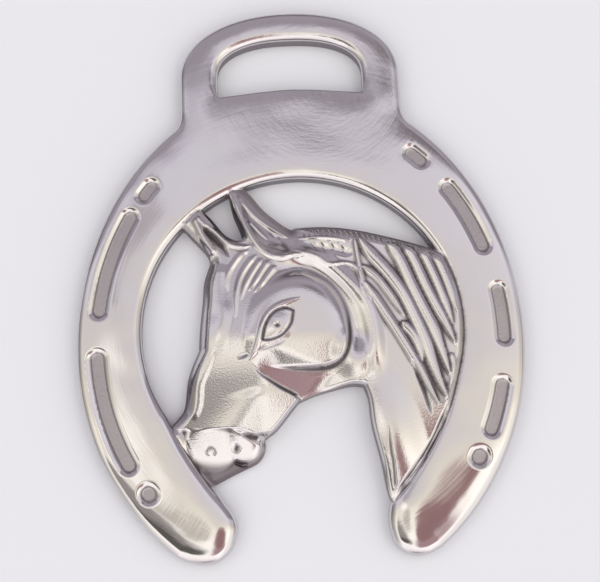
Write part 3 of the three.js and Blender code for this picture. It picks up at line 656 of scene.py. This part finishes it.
for row, distance in rows_beside(shoe_loop, SHOE_ROWS) + rows_beside(slot_loop, SHOE_ROWS, hollow=True):
    depth = depth_in_shoe(*row.T)
    points.append(row[np.abs(depth - distance) < ROW_TOLERANCE])
for row, distance in rows_beside(shoe_loop, HEAD_ROWS, hollow=True):
    depth, in_head = depths(row)
    points.append(row[(np.abs(depth + distance) < ROW_TOLERANCE) & (in_head > distance)])
for row, distance in rows_beside(head_loop, HEAD_ROWS):
    _, in_head = depths(row)
    points.append(row[np.abs(in_head - distance) < ROW_TOLERANCE])

shoe_points = hex_grid(SHOE_GRID)
depth = depth_in_shoe(*shoe_points.T)
nail_points = hex_grid(NAIL_GRID)
to_nail = np.full(len(nail_points), np.inf)
from_nail = np.full(len(shoe_points), np.inf)
for half_width, path in nail_paths:
    reach = NAIL_RINGS[-1] * half_width + SHOE_GRID
    to_nail = np.minimum(to_nail, near_path(*nail_points.T, path, reach)[0] - NAIL_RINGS[0] * half_width)
    from_nail = np.minimum(from_nail, near_path(*shoe_points.T, path, reach)[0] - NAIL_RINGS[-1] * half_width)
    points += [around(path, share * half_width) for share in NAIL_RINGS]
points.append(shoe_points[(depth > SHOE_ROWS[-1] + SHOE_GRID / 2) & (from_nail > SHOE_GRID / 2)])
points.append(nail_points[to_nail < -NAIL_GRID / 2])
head_points = hex_grid(HEAD_GRID)
head_points = head_points[is_inside(*head_points.T, head_loop[:-1])]
depth, in_head = depths(head_points)
clear_of_rows = HEAD_ROWS[-1] + HEAD_GRID / 2
points.append(head_points[(in_head > clear_of_rows) & (depth < -clear_of_rows)])

NEARNESS = 1e-4
BACK_NEARNESS = 1e-5
flat_points = [Vector(p) for p in np.vstack(points).tolist()]
made, _, triangles, _, _, _ = delaunay_2d_cdt(flat_points, edges, [], 0, NEARNESS, False)
front = np.array([tuple(p) for p in made])
triangles = np.array(triangles)
middle = front[triangles].mean(axis=1)
triangles = triangles[(depth_in_shoe(*middle.T) > 0) | is_inside(*middle.T, head_loop[:-1])]
used = np.unique(triangles)
renumber = np.full(len(front), -1)
renumber[used] = np.arange(len(used))
front = front[used]
triangles = renumber[triangles]

x, y = front.T
in_shoe, in_head = depths(front)
on_shoe = in_shoe > -NEARNESS
carved = with_mane(with_swellings(body_height(x, y, in_shoe), x, y), x, y)
rolled, head_share = with_edges(carved, x, y, in_shoe)
shoe_z = np.where(on_shoe, shoe_height(x, y, np.maximum(in_shoe, 0)), 0)
head_z = np.where(in_head > -NEARNESS, rolled, 0)
front_z = np.maximum(shoe_z, head_z)
head_share[head_z <= shoe_z] = 0

# The wall round every edge, which leans in below the mould's parting line and has a small round
# at its foot, and the flat back
sides = np.vstack([triangles[:, [0, 1]], triangles[:, [1, 2]], triangles[:, [2, 0]]])
order = np.sort(sides, axis=1)
_, first, times = np.unique(order, axis=0, return_index=True, return_counts=True)
rim_edges = sides[first[times == 1]]
rim = rim_edges[:, 0]
following = dict(rim_edges.tolist())
preceding = {b: a for a, b in rim_edges.tolist()}
into = to_left(front[[following[i] for i in rim]] - front[[preceding[i] for i in rim]])
rim_place = {i: k for k, i in enumerate(rim.tolist())}
vertices = [np.column_stack([front, front_z])]
faces = [*triangles.tolist()]
above = rim
count = len(front)
rings = [(0, front_z[rim] - WALL_TOP), (0, np.minimum(PARTING_HEIGHT, front_z[rim] - 2 * WALL_TOP))]
for turn in BACK_TURNS:
    inset = DRAFT + BACK_ROUND * (1 - math.cos(turn))
    rings.append((inset, np.full(len(rim), BACK_ROUND * (1 - math.sin(turn)))))
for inset, height in rings:
    below = np.arange(len(rim)) + count
    vertices.append(np.column_stack([front[rim] + into * inset, height]))
    for k, i in enumerate(rim.tolist()):
        nxt = rim_place[following[i]]
        faces.append([above[nxt], above[k], below[k], below[nxt]])
    above = below
    count += len(rim)

back_rim = vertices[-1][:, :2]
back_grid = hex_grid(BACK_GRID)
depth, head_depth = depths(back_grid)
in_head_only = (depth < -BACK_CLEARANCE) & (head_depth > BACK_CLEARANCE)
back_grid = back_grid[(depth > BACK_CLEARANCE) | in_head_only]
back_points = [Vector(p) for p in np.vstack([back_rim, back_grid]).tolist()]
back_edges = [(k, rim_place[following[i]]) for k, i in enumerate(rim.tolist())]
made, _, back_faces, _, _, _ = delaunay_2d_cdt(back_points, back_edges, [], 0, BACK_NEARNESS, False)
made = np.array([tuple(p) for p in made])
back_faces = np.array(back_faces)
middle = made[back_faces].mean(axis=1)
back_faces = back_faces[is_inside(*middle.T, back_rim, back_rim[[end for start, end in back_edges]])]
back_start = count - len(rim)
vertices.append(np.column_stack([made[len(rim):], np.zeros(len(made) - len(rim))]))
faces += (back_faces[:, ::-1] + back_start).tolist()
vertices = np.vstack(vertices)

brass_mesh = bpy.data.meshes.new("horse_brass_casting")
brass_mesh.from_pydata((vertices * MM).tolist(), [], faces)
# Where the wheel didn't reach, on the low rolled edges, the walls and the back, the metal is matt and painted
# darker as shade
polished = smooth_step(*POLISH_REACH, head_share) * smooth_step(*POLISH_HEIGHT, head_z)
rolled_off = np.where(head_z > shoe_z, 1 - polished, 0)


def store(mesh, name, front_values, elsewhere):
    """Stores a value at each point of the front, and one value for the walls and the back."""
    values = np.full(len(mesh.vertices), elsewhere, np.float32)
    values[:len(front)] = front_values
    mesh.attributes.new(name, "FLOAT", "POINT").data.foreach_set("value", values)


store(brass_mesh, "shoe_share", on_shoe & (shoe_z >= head_z), 0)
store(brass_mesh, "head_share", head_share, 0)
store(brass_mesh, "unpolished", rolled_off, 1)
brass_mesh.shade_smooth()
brass = bpy.data.objects.new("horse_brass_casting", brass_mesh)
bpy.context.scene.collection.objects.link(brass)

# Chased strokes: every fine line on the brass is a groove or ridge that follows a path, so one
# tree cuts them all. Strokes of one layer don't cross, because each point obeys its nearest one.
STROKE_SPACING = 0.12
LEAST_WIDTH_SHARE = 0.25


def add_node(tree, kind, settings=(), **links):
    """Adds a node, sets its properties, and fills its inputs with links or plain values."""
    node = tree.nodes.new(kind)
    for name, value in dict(settings).items():
        setattr(node, name, value)
    for name, value in links.items():
        key = int(name[1:]) if name[0] == "_" else name.replace("_", " ").title()
        if isinstance(value, bpy.types.NodeSocket):
            tree.links.new(value, node.inputs[key])
        else:
            node.inputs[key].default_value = value
    return node


def maths(tree, operation, first, second):
    """Adds a maths node, and gives its result."""
    return add_node(tree, "ShaderNodeMath", {"operation": operation}, _0=first, _1=second).outputs[0]


chasing = bpy.data.node_groups.new("Chase along strokes", "GeometryNodeTree")
chasing_inputs = {}
for name, kind in (
    ("Geometry", "NodeSocketGeometry"),
    ("Strokes", "NodeSocketObject"),
    ("Flat Share", "NodeSocketFloat"),
    ("Where", "NodeSocketString"),
    ("Mark", "NodeSocketString"),
    ("Metal", "NodeSocketMaterial"),
):
    chasing_inputs[name] = chasing.interface.new_socket(name, in_out="INPUT", socket_type=kind).identifier
chasing.interface.new_socket("Geometry", in_out="OUTPUT", socket_type="NodeSocketGeometry")
given = add_node(chasing, "NodeGroupInput").outputs
strokes = add_node(chasing, "GeometryNodeObjectInfo", object=given["Strokes"]).outputs["Geometry"]
position = add_node(chasing, "GeometryNodeInputPosition").outputs[0]
place = add_node(chasing, "ShaderNodeSeparateXYZ", vector=position).outputs
flat = add_node(chasing, "ShaderNodeCombineXYZ", x=place[0], y=place[1]).outputs[0]
near = add_node(
    chasing, "GeometryNodeProximity", {"target_element": "EDGES"}, geometry=strokes, sample_position=flat)
index = add_node(chasing, "GeometryNodeSampleNearest", geometry=strokes, sample_position=flat).outputs[0]
sampled = {}
for name in ("half_width", "rise"):
    value = add_node(chasing, "GeometryNodeInputNamedAttribute", name=name).outputs[0]
    sample = add_node(chasing, "GeometryNodeSampleIndex", geometry=strokes, value=value, index=index)
    sampled[name] = sample.outputs[0]
reach = maths(chasing, "DIVIDE", near.outputs["Distance"], sampled["half_width"])
slope = add_node(chasing, "ShaderNodeMapRange", value=reach, from_min=given["Flat Share"]).outputs[0]
rest = maths(chasing, "SUBTRACT", 1.0, maths(chasing, "MULTIPLY", slope, slope))
share = add_node(chasing, "GeometryNodeInputNamedAttribute", name=given["Where"]).outputs[0]
profile = maths(chasing, "MULTIPLY", maths(chasing, "MULTIPLY", rest, rest), share)
lift = maths(chasing, "MULTIPLY", profile, sampled["rise"])
offset = add_node(chasing, "ShaderNodeCombineXYZ", z=lift).outputs[0]
moved = add_node(chasing, "GeometryNodeSetPosition", geometry=given["Geometry"], offset=offset).outputs[0]
marked = add_node(
    chasing, "GeometryNodeStoreNamedAttribute", geometry=moved, name=given["Mark"], value=profile).outputs[0]
whole = add_node(chasing, "GeometryNodeRealizeInstances", geometry=marked).outputs[0]
finished = add_node(chasing, "GeometryNodeSetMaterial", geometry=whole, material=given["Metal"]).outputs[0]
add_node(chasing, "NodeGroupOutput", _0=finished)

stroke_objects = []


def chase(name, strokes, flat_share=0.0, where="head_share"):
    """Adds a layer of strokes, each a rise, a half width, two fading shares and a path."""
    places, joins, widths, rises = [], [], [], []
    for rise, half_width, fades, path in strokes:
        path = even_path(smooth_path(path), STROKE_SPACING)
        share = fade_ends(np.linspace(0, 1, len(path)), *fades)
        joins += [(len(places) + k, len(places) + k + 1) for k in range(len(path) - 1)]
        places += [(px * MM, py * MM, 0) for px, py in path]
        widths += (half_width * MM * np.maximum(share, LEAST_WIDTH_SHARE)).tolist()
        rises += (rise * MM * share).tolist()
    mesh = bpy.data.meshes.new(name)
    mesh.from_pydata(places, joins, [])
    for attribute, values in (("half_width", widths), ("rise", rises)):
        mesh.attributes.new(attribute, "FLOAT", "POINT").data.foreach_set("value", values)
    guide = bpy.data.objects.new(name, mesh)
    bpy.context.scene.collection.objects.link(guide)
    stroke_objects.append(guide)
    layer = brass.modifiers.new(name, "NODES")
    layer.node_group = chasing
    for socket, value in (
        ("Strokes", guide), ("Flat Share", flat_share), ("Where", where), ("Mark", name), ("Metal", metal),
    ):
        layer[chasing_inputs[socket]] = value


# Nickel plate on cast brass, polished by hand: a cool silver with clear but wavy reflections.
# Turning strokes show round the strap loop, the head keeps a fine orange peel from the mould,
# and what the wheel couldn't reach, in the hollows and nail recesses, stays matt and dark. The darker
# colour of the walls, the low rolled edges and the hollows is partly painted shade.
metal = bpy.data.materials.new("nickel plate on polished cast brass")


def linear(colour):
    """A linear colour from an sRGB hex value."""
    parts = [((colour >> shift) & 255) / 255 for shift in (16, 8, 0)]
    return (*[p / 12.92 if p <= 0.04045 else ((p + 0.055) / 1.055) ** 2.4 for p in parts], 1)


def per_metre(millimetres):
    """The scale of a pattern, from its size."""
    return 1 / (millimetres * MM)


NICKEL = 0xd1cfd0
DULL_NICKEL = 0xb4b0b3
# The walls' nickel is darker both for the cast skin and as painted shade on the walls and low rolled edges
WALL_NICKEL_AND_SHADE = 0x8f898d
# The tarnish colour stands for both tarnish and painted shade in the hollows and grooves
TARNISH_AND_SHADE = 0x565154
PEEL_SIZE = 0.25
PEEL_HEIGHT = 0.011
WAVE_SIZE = 12
WAVE_HEIGHT = 0.4
# Each set of strokes runs in rings about a middle, and has a width, a number of strokes to each radian,
# a reach and a height.
STROKE_RINGS = [((5, 30, 0), 0.7, 4, 26, 0.025), ((0, -9.5, 0), 0.6, 3, 110, 0.008)]
SCRATCH_MIDDLE = (-16.5, -37.5, 0)
SCRATCH_ANGLE = math.radians(-56)
SCRATCH_WIDTH = 0.2
SCRATCH_LENGTH = 4
SCRATCH_REACH = 9
SCRATCH_HEIGHT = 0.012
GRAIN_SIZE = 0.3
GRAIN_HEIGHT = 0.06
SMOOTH, PEELED, STROKED, ROUGH = 0.09, 0.14, 0.22, 0.45
metal.use_nodes = True
nodes = metal.node_tree
surface = nodes.nodes["Principled BSDF"]
surface.inputs["Metallic"].default_value = 1
at = add_node(nodes, "ShaderNodeTexCoord").outputs["Object"]


def vectors(tree, operation, first, second):
    """Adds a vector maths node, and gives its result."""
    return add_node(tree, "ShaderNodeVectorMath", {"operation": operation}, _0=first, _1=second).outputs[0]


def length(tree, vector):
    return add_node(tree, "ShaderNodeVectorMath", {"operation": "LENGTH"}, _0=vector).outputs["Value"]


def fade(tree, value, none, full):
    """A soft share, from nothing at one value to all at another."""
    return add_node(
        tree, "ShaderNodeMapRange", {"interpolation_type": "SMOOTHSTEP"},
        value=value, from_min=none, from_max=full).outputs[0]


def tinted(tree, share, below, above):
    """One colour over another, by a share."""
    return add_node(tree, "ShaderNodeMix", {"data_type": "RGBA"}, _0=share, _6=below, _7=above).outputs[2]


def noise(**settings):
    return add_node(nodes, "ShaderNodeTexNoise", **settings).outputs[0]


def between(share, low, high):
    """A value that goes from low to high as a share goes from 0 to 1."""
    return add_node(nodes, "ShaderNodeMapRange", value=share, to_min=low, to_max=high).outputs[0]


recess, hollow, on_head, unpolished = [
    add_node(nodes, "ShaderNodeAttribute", {"attribute_name": name}).outputs["Fac"]
    for name in ("nail_recesses", "hollow", "head_share", "unpolished")
]
off_head = maths(nodes, "SUBTRACT", 1.0, on_head)
rough = maths(nodes, "MAXIMUM", maths(nodes, "MAXIMUM", recess, unpolished), hollow)

# Turning strokes: noise in rings, long round the ring and fine across it
brushed = []
for middle, width, rounds, reach, height in STROKE_RINGS:
    from_middle = vectors(nodes, "SUBTRACT", at, tuple(p * MM for p in middle))
    flat_way = vectors(nodes, "MULTIPLY", from_middle, (1, 1, 0))
    ways = add_node(nodes, "ShaderNodeSeparateXYZ", vector=flat_way).outputs
    radius = length(nodes, flat_way)
    across = maths(nodes, "MULTIPLY", radius, per_metre(width))
    around_ring = maths(nodes, "MULTIPLY", maths(nodes, "ARCTAN2", ways[1], ways[0]), rounds)
    ringed = add_node(nodes, "ShaderNodeCombineXYZ", x=across, y=around_ring).outputs[0]
    lines = noise(vector=ringed, scale=1.0, detail=4.0, roughness=0.7)
    in_reach = maths(nodes, "MULTIPLY", fade(nodes, radius, reach * MM, reach * MM / 2), off_head)
    brushed.append((maths(nodes, "MULTIPLY", lines, in_reach), height))

# Scratches across one toe: noise that is long one way and fine the other
from_toe = vectors(nodes, "SUBTRACT", at, tuple(p * MM for p in SCRATCH_MIDDLE))
turned = add_node(
    nodes, "ShaderNodeVectorRotate", {"rotation_type": "Z_AXIS"},
    vector=from_toe, angle=SCRATCH_ANGLE).outputs[0]
stretched = vectors(nodes, "MULTIPLY", turned, (per_metre(SCRATCH_LENGTH), per_metre(SCRATCH_WIDTH), 0))
scratches = noise(vector=stretched, scale=1.0, detail=2.0)
on_toe = fade(nodes, length(nodes, from_toe), SCRATCH_REACH * MM, 0.0)
scratched = maths(nodes, "MULTIPLY", scratches, on_toe)

# The metal's roughness and colour follow its strokes and hollows. The darker colour of the walls and
# low rolled edges, and of the tarnish in the hollows, is partly painted shade.
smoothness = between(brushed[0][0], between(on_head, SMOOTH, PEELED), STROKED)
nodes.links.new(between(rough, smoothness, ROUGH), surface.inputs["Roughness"])
dulled = tinted(nodes, recess, linear(NICKEL), linear(DULL_NICKEL))
walled = tinted(nodes, unpolished, dulled, linear(WALL_NICKEL_AND_SHADE))
# Painted shade and tarnish: the hollows are mixed towards the tarnish colour
nodes.links.new(tinted(nodes, hollow, walled, linear(TARNISH_AND_SHADE)), surface.inputs["Base Color"])

# Its unevenness: long waves from the wheel, orange peel, turning strokes and the mould's grain
wave = maths(nodes, "MULTIPLY", noise(vector=at, scale=per_metre(WAVE_SIZE), detail=1.0), off_head)
peel = maths(nodes, "MULTIPLY", noise(vector=at, scale=per_metre(PEEL_SIZE), detail=1.0), on_head)
grain = maths(nodes, "MULTIPLY", noise(vector=at, scale=per_metre(GRAIN_SIZE), detail=2.0), rough)
bumpy = None
for height, size in (
    (wave, WAVE_HEIGHT), (peel, PEEL_HEIGHT), *brushed, (scratched, SCRATCH_HEIGHT), (grain, GRAIN_HEIGHT),
):
    bump = add_node(nodes, "ShaderNodeBump", height=height, distance=size * MM)
    if bumpy:
        nodes.links.new(bumpy, bump.inputs["Normal"])
    bumpy = bump.outputs[0]
nodes.links.new(bumpy, surface.inputs["Normal"])

# Nail recesses: shallow channels with round ends and soft lips, cast round the shoe for its nails.
# Their floors keep the rough skin of the mould.
NAIL_DEPTH = 0.5
NAIL_FLAT = 0.7
LIP_FALL = 0.26
LIP_WIDTH = 0.65
LIP_FLAT = NAIL_FLAT - LIP_WIDTH / 3
NO_FADE = (0, 0)
nail_lips = [(-LIP_FALL, half_width + LIP_WIDTH, NO_FADE, path) for half_width, path in nail_paths]
nail_strokes = [(-NAIL_DEPTH, half_width, NO_FADE, path) for half_width, path in nail_paths]
chase("nail_lips", nail_lips, flat_share=LIP_FLAT, where="shoe_share")
chase("nail_recesses", nail_strokes, flat_share=NAIL_FLAT, where="shoe_share")

# Ears: the near ear is a long hollow leaf with a rib in it, the far ear shows only its rims.
# They are cast with the head, and their tips run into the shoe.
chase("ear_hollows", [
    (-0.3, 1.8, (0.4, 0.3), [(-8.4, 10.4), (-6.6, 7.4), (-4.6, 5), (-2.9, 3.6)]),
    (-0.45, 0.9, (0.1, 0.4), [(-14.6, 7), (-12.9, 5), (-11.4, 3), (-10.6, 1.8)]),
])
chase("ear_rims", [
    (0.4, 0.75, (0.05, 0.2), [*EAR_RIM, (-2.4, 1.3), (-0.6, 1.7), (1.2, 1.6)]),
    (0.35, 0.5, (0.05, 0.2), [(-8.9, 12), (-6.9, 9.2), (-4.9, 7.4), (-2.6, 5.8), (-1.1, 4.8)]),
    (0.3, 0.4, (0.05, 0.3), [(-7.2, 7.6), (-5.6, 5.8), (-4.4, 4.5)]),
    (0.45, 0.6, (0.05, 0.15), [
        (-15.6, 8.8), (-14.7, 7.6), (-13, 6.1), (-11.4, 4.5), (-10.1, 3.6), (-8.4, 3.2), (-7.2, 3.4)]),
    (0.5, 0.9, (0.05, 0.1), [(-15.9, 8.4), (-14.6, 5.4), (-12.8, 2.2)]),
])

# Eye: an almond cut round with a graver under a raised brow, with a punched pupil. The brow runs
# down to the corner of the eye, where a short cut marks the tear duct.
chase("eye_lids", [
    (-0.36, 0.3, NO_FADE, [
        (-5.8, -11.9), (-5.5, -10.3), (-4.9, -8.9), (-4.1, -7.9), (-3, -7.3), (-1.8, -7.2), (-1, -7.6)]),
    (-0.32, 0.3, NO_FADE, [
        (-1, -7.6), (-1.3, -9.2), (-1.9, -10.3), (-2.7, -11.2), (-3.9, -11.8), (-5, -12), (-5.8, -11.9)]),
    (-0.3, 0.5, NO_FADE, [(-3.55, -9.8), (-3.45, -9.8)]),
])
chase("brow", [
    (0.2, 0.55, (0.2, 0.1), [
        (0.2, -5.7), (-2.2, -6.4), (-3.8, -7.1), (-5, -8.2), (-5.8, -9.7), (-6.4, -11.7), (-7, -13.5),
        (-7.9, -15)]),
    (-0.12, 0.55, (0.3, 0.3), [(-2.2, -12), (-3.9, -12.7), (-5.6, -13.2), (-6.5, -13.6)]),
    (-0.2, 0.45, (0.5, 0.3), [(-9.8, -14.7), (-8.8, -14.3), (-7.9, -14)]),
])

# Muzzle: a groove above the lip, the mouth, a punched dimple and the ring of the nostril, which is open
# below. All are cut into the cast lobes.
NOSTRIL = (-14.2, -28.1)
NOSTRIL_RING = 0.62
NOSTRIL_TURNS = np.radians(np.arange(-60, 241, 30))
ring_path = []
for turn in NOSTRIL_TURNS:
    ring_path.append((NOSTRIL[0] + NOSTRIL_RING * math.cos(turn), NOSTRIL[1] + NOSTRIL_RING * math.sin(turn)))
chase("muzzle_lines", [
    (-0.4, 0.7, (0.5, 0.05), [(-11, -25), (-9.7, -25.4), (-8.2, -26.2), (-7, -26.8), (-5.7, -27.1)]),
    (-0.4, 0.5, (0.1, 0.1), [(-10.7, -29.6), (-9.9, -30), (-8.8, -30.2)]),
    (-0.35, 0.75, NO_FADE, [(-10.4, -27.9), (-10.3, -27.6)]),
    (-0.2, 0.26, (0.2, 0.2), ring_path),
])

# Neck: a line cut with a graver behind its front edge, a hollow in front of the mane's tip, and a
# groove where it meets the shoe.
chase("neck_lines", [
    (-0.3, 0.25, (0.3, 0.05), [(12.5, -25.5), (12.5, -27.7), (12.6, -29.5), (12.8, -31.1), (12.9, -34.7)]),
    (-0.3, 0.5, (0.3, 0.2), [(16.6, -15.5), (17.6, -18.8), (18.5, -21.8), (19, -24.2)]),
    (-0.7, 0.55, (0.15, 0.1), [(21.6, -22.9), (19.5, -27.2), (17.4, -30.4), (15.1, -33.2), (13.2, -35.6)]),
])

# Forelock: five raised strands that are combed down over the forehead from between the ears, each
# fading out at its tip.
STRAND = (0.24, 0.6, (0.1, 0.4))
chase("forelock", [
    (*STRAND, [(-7.6, 2.7), (-8.9, 1.8), (-9.8, 0.7), (-10.6, -0.6), (-11, -2.2), (-10.9, -3.8)]),
    (*STRAND, [(-6.4, 1.8), (-7.7, 0.3), (-8.7, -1.3), (-9.3, -3), (-9.7, -5.4), (-9.8, -8.3)]),
    (*STRAND, [(-5.5, 1.2), (-6.6, -0.4), (-7.6, -2), (-8.4, -3.6), (-8.9, -5.5)]),
    (*STRAND, [(-4.4, 0.8), (-5.5, -0.8), (-6.5, -2.4), (-7.7, -4.1)]),
    (*STRAND, [(-3.4, -0.1), (-4.3, -1.2), (-5.6, -3), (-6.9, -4.4)]),
])

# Clipped mane behind the ear: a sunk band between two raised borders, with a few cross cuts made
# with a graver.
chase("clipped_mane", [
    (-0.14, 1, (0.2, 0.1), [(0.4, 3.7), (3.2, 2.8), (6.2, 2.2), (8.6, 1.4)]),
    (0.25, 0.4, (0.1, 0.1), [
        (-0.6, 2.6), (1.2, 1.8), (3.2, 1), (5, -0.2), (7.3, 0), (9, -0.8), (9.7, -3.5), (10.2, -5.6)]),
    (0.16, 0.4, (0.1, 0.1), [(-0.4, 4.6), (2.4, 4.4), (5.6, 4.1), (8.4, 3.5)]),
])
CROSS_CUT = (-0.08, 0.22, (0.1, 0.3))
chase("cross_cuts", [
    (*CROSS_CUT, [(2, 4.2), (2.5, 3.2), (3.1, 2)]),
    (*CROSS_CUT, [(3.4, 4.1), (4, 2.8), (4.6, 1.2), (5.2, 0)]),
    (*CROSS_CUT, [(4.9, 3.9), (5.4, 2.9), (6, 1.6)]),
    (*CROSS_CUT, [(6.4, 3.6), (6.8, 2.8), (7.3, 1.8)]),
])

# Crest: short cuts side by side down its slope, where the hairs of the mane begin. They lean back
# with the hair and fade out downwards.
CREST_CUTS = 24
CREST_CUT_LENGTH = 1.9
CREST_CUT_LEAN = 0.35
CREST_CUT = (-0.22, 0.26, (0.05, 0.5))
CREST_SPACING = 0.1
crest = smooth_path([(0.8, 6.3), (4.5, 6.3), (9.4, 5.6), (15.6, 3.9), (20.3, 2.3)])
crest = even_path(crest, CREST_SPACING)
crest_cuts = []
for k in range(CREST_CUTS):
    top_x, top_y = crest[k * (len(crest) - 1) // (CREST_CUTS - 1)]
    low = (top_x + CREST_CUT_LENGTH * CREST_CUT_LEAN, top_y - CREST_CUT_LENGTH)
    crest_cuts.append((*CREST_CUT, [(top_x, top_y), low]))
chase("crest_cuts", crest_cuts)

# The strokes are baked into one plain mesh
bpy.context.view_layer.update()
evaluated = brass.evaluated_get(bpy.context.evaluated_depsgraph_get())
baked = bpy.data.meshes.new_from_object(evaluated)
brass.modifiers.clear()
brass.data = baked

# Hollows: how far each point of the front lies below its surroundings, for the tarnish and painted shade in
# the grooves
HOLLOW_ROUNDS = 12
HOLLOW_FROM, HOLLOW_TO = 0.03, 0.16
RIM_ROUNDS = 7
heights = np.empty(3 * len(baked.vertices))
baked.vertices.foreach_get("co", heights)
heights = heights[2::3][:len(front)] / MM
ties = np.vstack([order, order[:, ::-1]])
neighbours = np.bincount(ties[:, 0], minlength=len(front))


def mean_around(values):
    """The mean of the neighbours of each point of the front."""
    return np.bincount(ties[:, 0], values[ties[:, 1]], len(front)) / neighbours


smoothed = heights
near_rim = np.zeros(len(front))
near_rim[rim] = 1
for _ in range(HOLLOW_ROUNDS):
    smoothed = mean_around(smoothed)
for _ in range(RIM_ROUNDS):
    near_rim = np.maximum(near_rim, mean_around(near_rim) > 0)
recessed = np.empty(len(baked.vertices))
baked.attributes["nail_lips"].data.foreach_get("value", recessed)
hollow_depth = smooth_step(HOLLOW_FROM, HOLLOW_TO, smoothed - heights) * (1 - near_rim)
hollow_depth *= 1 - recessed[:len(front)]
hollow_depth = (hollow_depth + mean_around(hollow_depth)) / 2
store(baked, "hollow", hollow_depth, 0)
for guide in stroke_objects:
    bpy.data.objects.remove(guide)
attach(brass, "root")
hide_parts("horse_brass")

# Floor: a plain pale board, painted matt, that the brass lies on. Its top is a hair below the brass's
# back, so that the two faces don't meet.
FLOOR_COLOUR = 0xf2f7ff
FLOOR_ROUGHNESS = 0.8
FLOOR_REACH = 1500 * MM
FLOOR_DROP = 0.02 * MM
FLOOR_CORNERS = [(-1, -1), (1, -1), (1, 1), (-1, 1)]
floor_mesh = bpy.data.meshes.new("floor")
floor_places = [(FLOOR_REACH * across, FLOOR_REACH * along, -FLOOR_DROP) for across, along in FLOOR_CORNERS]
floor_mesh.from_pydata(floor_places, [], [(0, 1, 2, 3)])
floor = bpy.data.objects.new("floor", floor_mesh)
bpy.context.scene.collection.objects.link(floor)
board = bpy.data.materials.new("matt painted board")
board.use_nodes = True
painted = board.node_tree.nodes["Principled BSDF"]
painted.inputs["Base Color"].default_value = linear(FLOOR_COLOUR)
painted.inputs["Roughness"].default_value = FLOOR_ROUGHNESS
floor_mesh.materials.append(board)

# Studio light: a soft white tent, bright overhead and in front, grey beyond the strap loop and dimmer
# at the sides, with the camera's opening as a dark card. Leans are degrees from straight up.
TENT = [
    (-88, 0x8c8484), (-76, 0xb9afaf), (-62, 0xe8e1e1), (-45, 0xf8f2f0), (-18, 0xfffaf4), (-3, 0xfffaf0),
    (3, 0xf2eadc), (8, 0xd8d1c5), (14, 0xcac5c5), (24, 0xccc8d1), (28.5, 0x928b93), (50, 0x989199),
    (70, 0x7c757b), (85, 0x4a4549),
]
SIDES = [
    (-80, 0.3), (-58, 0.52), (-35, 1.0), (-15, 0.95), (5, 1.0), (25, 1.12), (40, 0.85), (60, 0.8), (80, 0.5),
]
# Each card has its middle, half size, softness of edge and colour. The first are grey, brown and dark
# ones below the camera, then one beside it, and pale and grey ones far apart for the plate.
CARDS = [
    ((-22, -10), (13, 12), 0.2, 0x8d8784), ((13, -18), (11, 12), 0.4, 0x9e8285),
    ((-18, -15), (14, 6), 0.25, 0x55524f), ((9.3, -4), (6.8, 10), 0.15, 0x8a6a6a),
    ((-8, 2), (4.5, 3.5), 0.5, 0xb4ada3), ((-11, 8), (4, 3.5), 0.4, 0xfffaf2),
    ((-10, 19), (4, 4), 0.5, 0xa49ea1), ((11, 30), (8, 4), 0.4, 0x6c6467),
]
TENT_STRENGTH = 1.6
world = bpy.data.worlds.new("light tent")
bpy.context.scene.world = world
world.use_nodes = True
tent = world.node_tree
tent.nodes.clear()
direction = add_node(tent, "ShaderNodeTexCoord").outputs["Generated"]
lean = add_node(tent, "ShaderNodeSeparateXYZ", vector=direction).outputs


def lean_ramp(lean, stops):
    """A colour ramp over a lean, which is the sine of an angle."""
    share = add_node(tent, "ShaderNodeMapRange", value=lean, from_min=-1.0, from_max=1.0).outputs[0]
    node = add_node(tent, "ShaderNodeValToRGB", fac=share)
    while len(node.color_ramp.elements) < len(stops):
        node.color_ramp.elements.new(0.5)
    for element, (angle, colour) in zip(node.color_ramp.elements, stops):
        element.position = (math.sin(math.radians(angle)) + 1) / 2
        element.color = colour
    return node.outputs["Color"]


tint = lean_ramp(lean[1], [(angle, linear(colour)) for angle, colour in TENT])
sides_light = lean_ramp(lean[0], [(angle, (level, level, level, 1)) for angle, level in SIDES])
mixed = vectors(tent, "MULTIPLY", tint, sides_light)
for middle, half_size, softness, colour in CARDS:
    middle = [math.sin(math.radians(angle)) for angle in middle]
    shares = [1 / math.sin(math.radians(angle)) for angle in half_size]
    aside = vectors(tent, "SUBTRACT", direction, (*middle, 0))
    to_card = length(tent, vectors(tent, "MULTIPLY", aside, (*shares, 0)))
    mixed = tinted(tent, fade(tent, to_card, 1 + softness, 1 - softness), mixed, linear(colour))
glow = add_node(tent, "ShaderNodeBackground", color=mixed, strength=TENT_STRENGTH).outputs[0]
add_node(tent, "ShaderNodeOutputWorld", surface=glow)
bpy.context.scene.view_settings.view_transform = "Standard"
